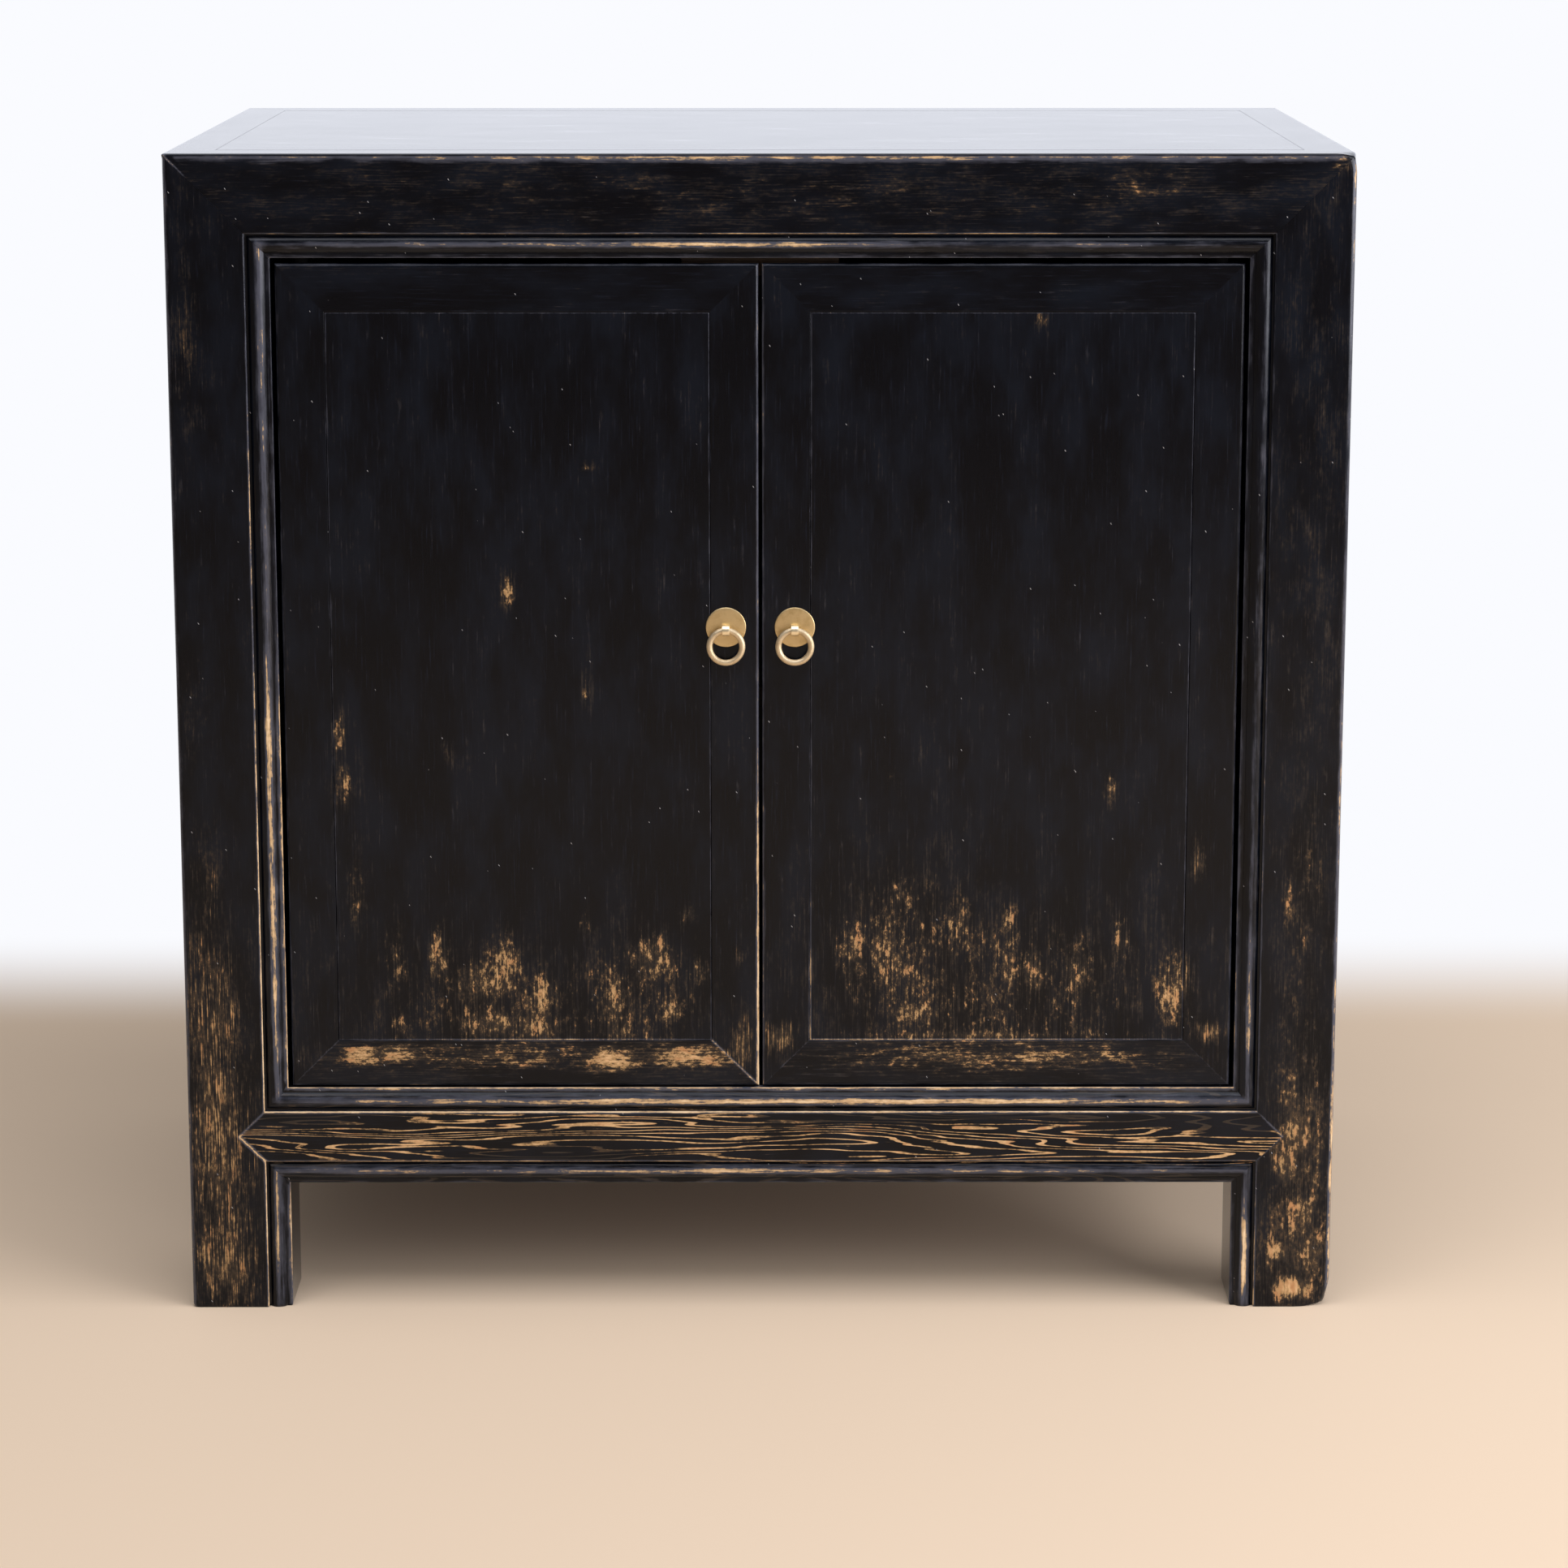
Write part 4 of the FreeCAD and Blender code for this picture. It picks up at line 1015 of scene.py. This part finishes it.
# From which painted value on the patterns have their full say, and between which values the wood comes through
FLAT_FULL, EDGE_FULL, FLAT_BARE, EDGE_BARE = 0.3, 0.4, (0.5, 0.58), (0.5, 0.6)
FIGURE_EDGE, EDGE_AHEAD = (0.55, 0.9), (-0.05, 0.05)
# Black with a cold cast, a little warmer and paler where the polish has gone dull, and grey where it is worn on beads
# and arrises, which on the bead flanks facing the lamps is a painted sheen
BLACK, CLOUDY, STREAKY = "#030409", (0.35, 0.7, "#0B1019"), (0.55, 0.8, "#151A25")
DULL, THIN, GREY_POLISH_AND_SHEEN = (0.12, 0.55, "#332C26"), (0.3, 0.52, "#4A3A2A"), (0.08, 0.42, "#494A53")
# Wood: dark where lacquer still stains it, brown, then tan where it is rubbed clean, orange brown in places
WOOD, BROWN, TAN, ORANGE = "#68543C", (0.5, 0.68, "#AE895C"), (0.66, 0.98, "#D9B080"), (0.52, 0.7, "#B58255")
# Arrises: grey brown where they are hardly worn, then tan, then pale
EDGE, EDGE_TAN, EDGE_PALE = "#6B6154", (0.52, 0.75, "#C8A478"), (0.75, 1.05, "#E8CBA2")
SPECK_SIZE, SPECK_SHARE, SPECK_CHANCE, SPECK = 6.0, 0.075, 0.91, "#A09E9E"
SPECK_TURN, SPECK_STRETCH = (0, math.radians(-35), 0), (0.55, 1, 2.0)
SATIN, BARE_ROUGH, SUNK = 0.32, 0.62, -0.6


# %% Lacquer
def specked(tree, place, colour):
    """Fine slanting specks and scratches on a colour."""
    turned = {"vector_type": "TEXTURE", "Rotation": SPECK_TURN, "Scale": SPECK_STRETCH}
    spot = add(tree, "Mapping", place, **turned)[0]
    speck = add(tree, "TexVoronoi", Vector=spot, Scale=1 / (SPECK_SIZE * MM))
    dot = add(tree, "Math", speck["Distance"], SPECK_SHARE, operation="LESS_THAN")[0]
    red = add(tree, "SeparateColor", speck["Color"])[0]
    chosen = add(tree, "Math", red, SPECK_CHANCE, operation="GREATER_THAN")[0]
    dot = add(tree, "Math", dot, chosen, operation="MULTIPLY")[0]
    return add(tree, "Mix", dot, n6=colour, n7=tint(SPECK), **COLOURS)[2]


def worn_lacquer(name, along, fleck_weight, streak_weight, broken_weight, figure_weight=0.0):
    """Black lacquer on wood whose grain runs along one axis. The weights say what breaks the rubbed places up."""
    finish, tree, shader = new_finish(name)
    place = add(tree, "TexCoord")["Object"]
    rub, arris = (add(tree, "Attribute", attribute_name=layer)["Fac"] for layer in ("rub", "arris"))
    fleck, streak, patch, broken = (along_grain(tree, place, along, *kind) for kind in (FLECK, STREAK, PATCH, BREAK))
    figure = []
    if figure_weight:
        wave = add(tree, "Math", along_grain(tree, place, along, *FIGURE), FIGURE_LINES, operation="MULTIPLY")[0]
        wave = add(tree, "Math", wave, operation="SINE")[0]
        figure = [(add(tree, "MapRange", wave, *FIGURE_EDGE, **SMOOTH)[0], figure_weight)]
    parts = [(fleck, fleck_weight), (streak, streak_weight), (broken, broken_weight), (patch, 0.9)]
    on_flat = broken_up(tree, rub, FLAT_FULL, parts + figure)
    on_edge = broken_up(tree, arris, EDGE_FULL, [(streak, 1.3), (fleck, 0.7), (broken, 1.2)])
    flat_bare = add(tree, "MapRange", on_flat, *FLAT_BARE, **SMOOTH)[0]
    edge_bare = add(tree, "MapRange", on_edge, *EDGE_BARE, **SMOOTH)[0]
    bare = add(tree, "Math", flat_bare, edge_bare, operation="MAXIMUM")[0]
    dull = weighed(tree, rub, (patch, 0.5), (streak, 0.9), (fleck, 0.6), (broken, 0.6), *figure)
    # Grey of worn polish on beads and arrises, which on the bead flanks facing the lamps is a painted sheen
    grey_and_sheen = weighed(tree, arris, (streak, 0.4), (broken, 0.5))
    skin, wood, edge = tint(BLACK), tint(WOOD), tint(EDGE)
    for value, change in ((patch, CLOUDY), (streak, STREAKY), (dull, DULL), (on_flat, THIN), (grey_and_sheen, GREY_POLISH_AND_SHEEN)):
        skin = shade(tree, skin, value, *change)
    for value, change in ((on_flat, BROWN), (on_flat, TAN), (broken, ORANGE)):
        wood = shade(tree, wood, value, *change)
    for change in (EDGE_TAN, EDGE_PALE):
        edge = shade(tree, edge, on_edge, *change)
    ahead = add(tree, "Math", on_edge, on_flat, operation="SUBTRACT")[0]
    ahead = add(tree, "MapRange", ahead, *EDGE_AHEAD, **SMOOTH)[0]
    wood = add(tree, "Mix", ahead, n6=wood, n7=edge, **COLOURS)[2]
    colour = specked(tree, place, add(tree, "Mix", bare, n6=skin, n7=wood, **COLOURS)[2])
    satin = weighed(tree, SATIN, (patch, 0.25), (streak, 0.12))
    rough = add(tree, "Mix", bare, n2=satin, n3=BARE_ROUGH)[0]
    # Bare wood lies a hair below the lacquer, and the grain telegraphs through it
    relief = add(tree, "Math", bare, SUNK, streak, operation="MULTIPLY_ADD")[0]
    bump = add(tree, "Bump", Strength=0.15, Distance=0.3 * MM, Height=relief)[0]
    plug(tree, shader, Base_Color=colour, Roughness=rough, Normal=bump, Specular_IOR_Level=0.08)
    # A thin rubbed wax over all, which mirrors little from in front and much at low angles
    plug(tree, shader, Coat_Weight=1.0, Coat_Roughness=0.1, Coat_IOR=1.24)
    return finish


lacquer_panel = worn_lacquer("lacquer_on_panel", ALONG_Z, 1.8, 0.8, 1.1)
lacquer_leg = worn_lacquer("lacquer_on_knocked_leg", ALONG_Z, 1.2, 0.5, 1.4)
lacquer_upright = worn_lacquer("lacquer_on_upright", ALONG_Z, 0.8, 2.0, 0.7)
lacquer_level = worn_lacquer("lacquer_on_rail", ALONG_X, 1.8, 0.9, 1.0)
lacquer_deep = worn_lacquer("lacquer_on_side_rail", ALONG_Y, 1.8, 0.9, 1.0)
lacquer_figured = worn_lacquer("lacquer_on_open_grain", ALONG_X, 1.2, 1.5, 1.4, 0.9)
print("lacquer", len(lacquer_panel.node_tree.nodes), "nodes")

# %% [markdown]
# ## Stained wood and brass
# Inside, nobody lacquered: the boards are softwood under a dark brown stain, dull, with the grain drawn darker. The
# door pivots are painted a dull near black, as painted shade in the deep gap they turn in. The pulls are brass with a
# satin polish, which gives soft pale highlights and hardly any mirror image. The straps, which the rings rub, are paler
# than the plates, partly as a painted highlight where they face the light, and fingers have dulled the rings.

# %% Stained wood
GRAIN, CLOUD = (3.0, 30.0, 5.0), (60.0, 3.0, 3.0)


def stained_wood(name, along):
    finish, tree, shader = new_finish(name)
    place = add(tree, "TexCoord")["Object"]
    grain, cloud = (along_grain(tree, place, along, *kind) for kind in (GRAIN, CLOUD))
    brown = shade(tree, tint("#3A281A"), grain, 0.3, 0.7, "#5B4229")
    brown = shade(tree, brown, cloud, 0.4, 0.75, "#4A3320")
    bump = add(tree, "Bump", Strength=0.2, Distance=0.3 * MM, Height=grain)[0]
    plug(tree, shader, Base_Color=brown, Roughness=weighed(tree, 0.62, (grain, 0.2)), Normal=bump)
    return finish


stain_across = stained_wood("stained_wood_across", ALONG_X)
stain_deep = stained_wood("stained_wood_deep", ALONG_Y)
# Dull near black on the pivots, a painted shade for the deep gap between door and rails
pivot_painted_shade, tree, shader = new_finish("pivot_in_painted_shade")
plug(tree, shader, Base_Color=tint("#0B0A0A"), Roughness=0.95, Specular_IOR_Level=0.05)
print("stained wood", len(stain_across.node_tree.nodes), "nodes")

# %% Brass
POLISH, TARNISH = (0.5, 6.0, 3.0), (7.0, 1.0, 4.0)


def satin_brass(name, pale, dark, rough):
    finish, tree, shader = new_finish(name)
    place = add(tree, "TexCoord")["Object"]
    polish, tarnish = (along_grain(tree, place, ALONG_X, *kind) for kind in (POLISH, TARNISH))
    colour = shade(tree, tint(pale), tarnish, 0.45, 0.75, dark)
    rough = weighed(tree, rough, (polish, 0.2), (tarnish, 0.1))
    bump = add(tree, "Bump", Strength=0.08, Distance=0.05 * MM, Height=polish)[0]
    plug(tree, shader, Base_Color=colour, Roughness=rough, Normal=bump, Metallic=1.0)
    return finish


brass = satin_brass("satin_brass", "#E1C693", "#CFB27D", 0.44)
# Paler brass for the straps: rubbed by the rings, and partly a painted highlight where they face the light
strap_brass_rubbed_and_highlit = satin_brass("rubbed_brass_with_painted_highlight", "#FAE8C2", "#EED8AA", 0.4)
ring_brass = satin_brass("handled_brass", "#DFCBA8", "#CBB48E", 0.56)
print("brass", len(brass.node_tree.nodes), "nodes")

# %% [markdown]
# ## Putting the pieces in place of their solids
# Each new piece rides on the body of the solid that it stands for, so a door takes its stiles, panel and pull with it.
# The solids that show as they are, such as the floor boards, only get a finish.


# %% Dress the pieces
def dress(piece, node, finish):
    hold(piece)
    bpy.ops.object.shade_smooth_by_angle(angle=math.radians(40))
    piece.data.materials.clear()
    piece.data.materials.append(finish)
    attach(piece, frame["nodes"][node]["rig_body"])
    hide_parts(node)


def both_sides(rows):
    """Each row, followed by the row of its twin on the right, if it has one."""
    for made, node, finish in rows:
        yield made, node, finish
        if made.name in twins:
            yield twins[made.name], node.replace("left", "right"), finish


FRAME_PIECES = [
    (front_leg, "leg_front_left", lacquer_upright),
    (back_leg, "leg_back_left", lacquer_upright),
    (top_rail, "top_rail_front", lacquer_level),
    (back_rail, "top_rail_back", lacquer_level),
    (side_rail, "top_rail_side_left", lacquer_deep),
    (side_bottom, "bottom_rail_side_left", lacquer_deep),
    (back_bottom, "bottom_rail_back", lacquer_level),
    (top_board, "top_panel", lacquer_level),
    (side_board, "side_panel_left", lacquer_panel),
    (back_board, "back_panel_left", lacquer_panel),
    (back_upright, "back_mullion", lacquer_upright),
]
RAIL_PIECES = [(bottom_rail, "bottom_rail_front", lacquer_figured)]
DOOR_PIECES = [
    (hinge_stile, "door_hinge_stile_left", lacquer_upright),
    (meeting_stile, "door_meeting_stile_left", lacquer_upright),
    (bottom_frame, "door_bottom_rail_left", lacquer_level),
    (top_frame, "door_top_rail_left", lacquer_level),
    (panel, "door_panel_left", lacquer_panel),
]
PULL_PIECES = [
    (plate, "pull_plate_left", brass),
    (strap, "pull_strap_left", strap_brass_rubbed_and_highlit),
    (ring, "pull_ring_left", ring_brass),
]
for rows, ovals in ((FRAME_PIECES, RUBBED_FRAME), (RAIL_PIECES, RUBBED_RAIL), (DOOR_PIECES, RUBBED_DOORS)):
    for made, node, finish in both_sides(rows):
        most = paint_wear(made, ovals)
        dress(made, node, lacquer_leg if node == "leg_front_right" else finish)
        print(node, "most rubbed", round(most, 2))
for made, node, finish in both_sides(PULL_PIECES):
    dress(made, node, finish)
dress(shelf_board, "shelf", stain_across)

# %% Paint the pivots dark as the shade in the door gap
CLEAR = 0.05
for stile in (hinge_stile, twins[hinge_stile.name]):
    stile.data.materials.append(pivot_painted_shade)
    for face in stile.data.polygons:
        up = face.center.z / MM
        face.material_index = int(up > door_top + CLEAR or up < door_bottom - CLEAR)
print("darkened_as_shade", sum(face.material_index for face in hinge_stile.data.polygons), "faces on each hinge stile")

# %% Finish the solids that show as they are
SHOWN = {"floor_board": stain_across, "door_stop": stain_across, "door_batten": lacquer_level}
SHOWN.update({start: stain_deep for start in ("floor_batten", "shelf_bearer", "top_batten")})
for name, solid in frame["nodes"].items():
    for start, finish in SHOWN.items():
        if name.startswith(start):
            solid.data.materials.clear()
            solid.data.materials.append(finish)
            print("finished", name)

# %% [markdown]
# ## Floor, light and camera
# The cabinet stands on a plain pale floor under soft daylight: a big lamp at the right, as a window gives, a second
# overhead, and a weak glow from all round. The floor is warm near the cabinet, and white behind it and far off.
# Mirrored rays that leave towards the front see a dim room, or the lacquer would look grey instead of black.

# %% Floor
FLOOR_SIZE, BEHIND, FAR_OFF = 120.0, (0.5, 0.85), (1.6, 2.6)
BACKGROUND, DAYLIGHT = tint("#FAFBFF"), tint("#F2F5FF")


def seen_rays(tree):
    """1 for the rays that show the background: straight from the camera, mirrored or through glass."""
    rays = add(tree, "LightPath")
    bounced = add(tree, "Math", rays["Is Glossy Ray"], rays["Is Transmission Ray"], operation="MAXIMUM")[0]
    return add(tree, "Math", rays["Is Camera Ray"], bounced, operation="MAXIMUM")[0]


floor = fresh(bpy.ops.mesh.primitive_plane_add, "floor", size=FLOOR_SIZE)
floor_finish, tree, shader = new_finish("matte_floor")
plug(tree, shader, Base_Color=tint("#EAD0B2"), Roughness=0.9, Specular_IOR_Level=0.1)
spot = add(tree, "TexCoord")["Object"]
depth = add(tree, "SeparateXYZ", spot)["Y"]
away = add(tree, "VectorMath", spot, operation="LENGTH")["Value"]
from_camera = add(tree, "LightPath")["Is Camera Ray"]
behind = add(tree, "MapRange", depth, *BEHIND, **SMOOTH)[0]
behind = add(tree, "Math", behind, seen_rays(tree), operation="MULTIPLY")[0]
far_off = add(tree, "MapRange", away, *FAR_OFF, **SMOOTH)[0]
far_off = add(tree, "Math", far_off, from_camera, operation="MULTIPLY")[0]
shown = add(tree, "Math", behind, far_off, operation="MAXIMUM")[0]
white = add(tree, "Emission", Color=BACKGROUND, Strength=1.0)[0]
both = add(tree, "MixShader", shown, shader.outputs[0], white)[0]
plug(tree, tree.nodes["Material Output"], Surface=both)
floor.data.materials.append(floor_finish)
print("floor", FLOOR_SIZE, "m")

# %% World and lamps
GLOW, ROOM, WHITE, TO_BACK = 0.3, 0.15, 1.14, (-0.2, 0.3)
world = bpy.data.worlds.new("studio")
bpy.context.scene.world = world
world.use_nodes = True
tree = world.node_tree
way = add(tree, "TexCoord")["Generated"]
behind = add(tree, "MapRange", add(tree, "SeparateXYZ", way)["Y"], *TO_BACK, **SMOOTH)[0]
from_camera = add(tree, "LightPath")["Is Camera Ray"]
around = add(tree, "Mix", behind, n2=ROOM, n3=WHITE)[0]
shown = add(tree, "Mix", from_camera, n2=around, n3=1.0)[0]
strength = add(tree, "Mix", seen_rays(tree), n2=GLOW, n3=shown)[0]
sky = add(tree, "Mix", from_camera, n6=DAYLIGHT, n7=BACKGROUND, **COLOURS)[2]
plug(tree, tree.nodes["Background"], Color=sky, Strength=strength)


def lamp(name, spot, aim, wide, tall, power):
    """A soft lamp that looks at a point, with the cool white of daylight."""
    bpy.ops.object.light_add(type="AREA", location=spot)
    made = bpy.context.object
    made.name = name
    made.rotation_euler = (Vector(aim) - Vector(spot)).to_track_quat("-Z", "Y").to_euler()
    made.data.shape = "RECTANGLE"
    made.data.size, made.data.size_y = wide, tall
    made.data.energy = power
    made.data.color = DAYLIGHT[:3]
    made.visible_camera = False


lamp("window", (3.0, -1.5, 1.3), (0, 0, 0.5), wide=3.2, tall=2.0, power=137)
lamp("ceiling", (-0.2, -1.2, 3.2), (0, 0, 0.4), wide=3.0, tall=2.4, power=70)

# %% Camera
IMAGE_SIDE, FOCAL, AXIS_ROW, SENSOR = 1932, 4968, 705, 36
PITCH, YAW = 10.414, -0.09
camera_data = bpy.data.cameras.new("camera")
camera = bpy.data.objects.new("camera", camera_data)
bpy.context.scene.collection.objects.link(camera)
camera.location = (0.0134, -3.2922, 1.1504)
camera.rotation_euler = (math.radians(90 - PITCH), 0, math.radians(YAW))
camera_data.sensor_width = SENSOR
camera_data.lens = FOCAL / IMAGE_SIDE * SENSOR
camera_data.shift_y = AXIS_ROW / IMAGE_SIDE - 0.5
bpy.context.scene.camera = camera
bpy.context.scene.view_settings.view_transform = "Standard"
print("lens", round(camera_data.lens, 1), "mm")
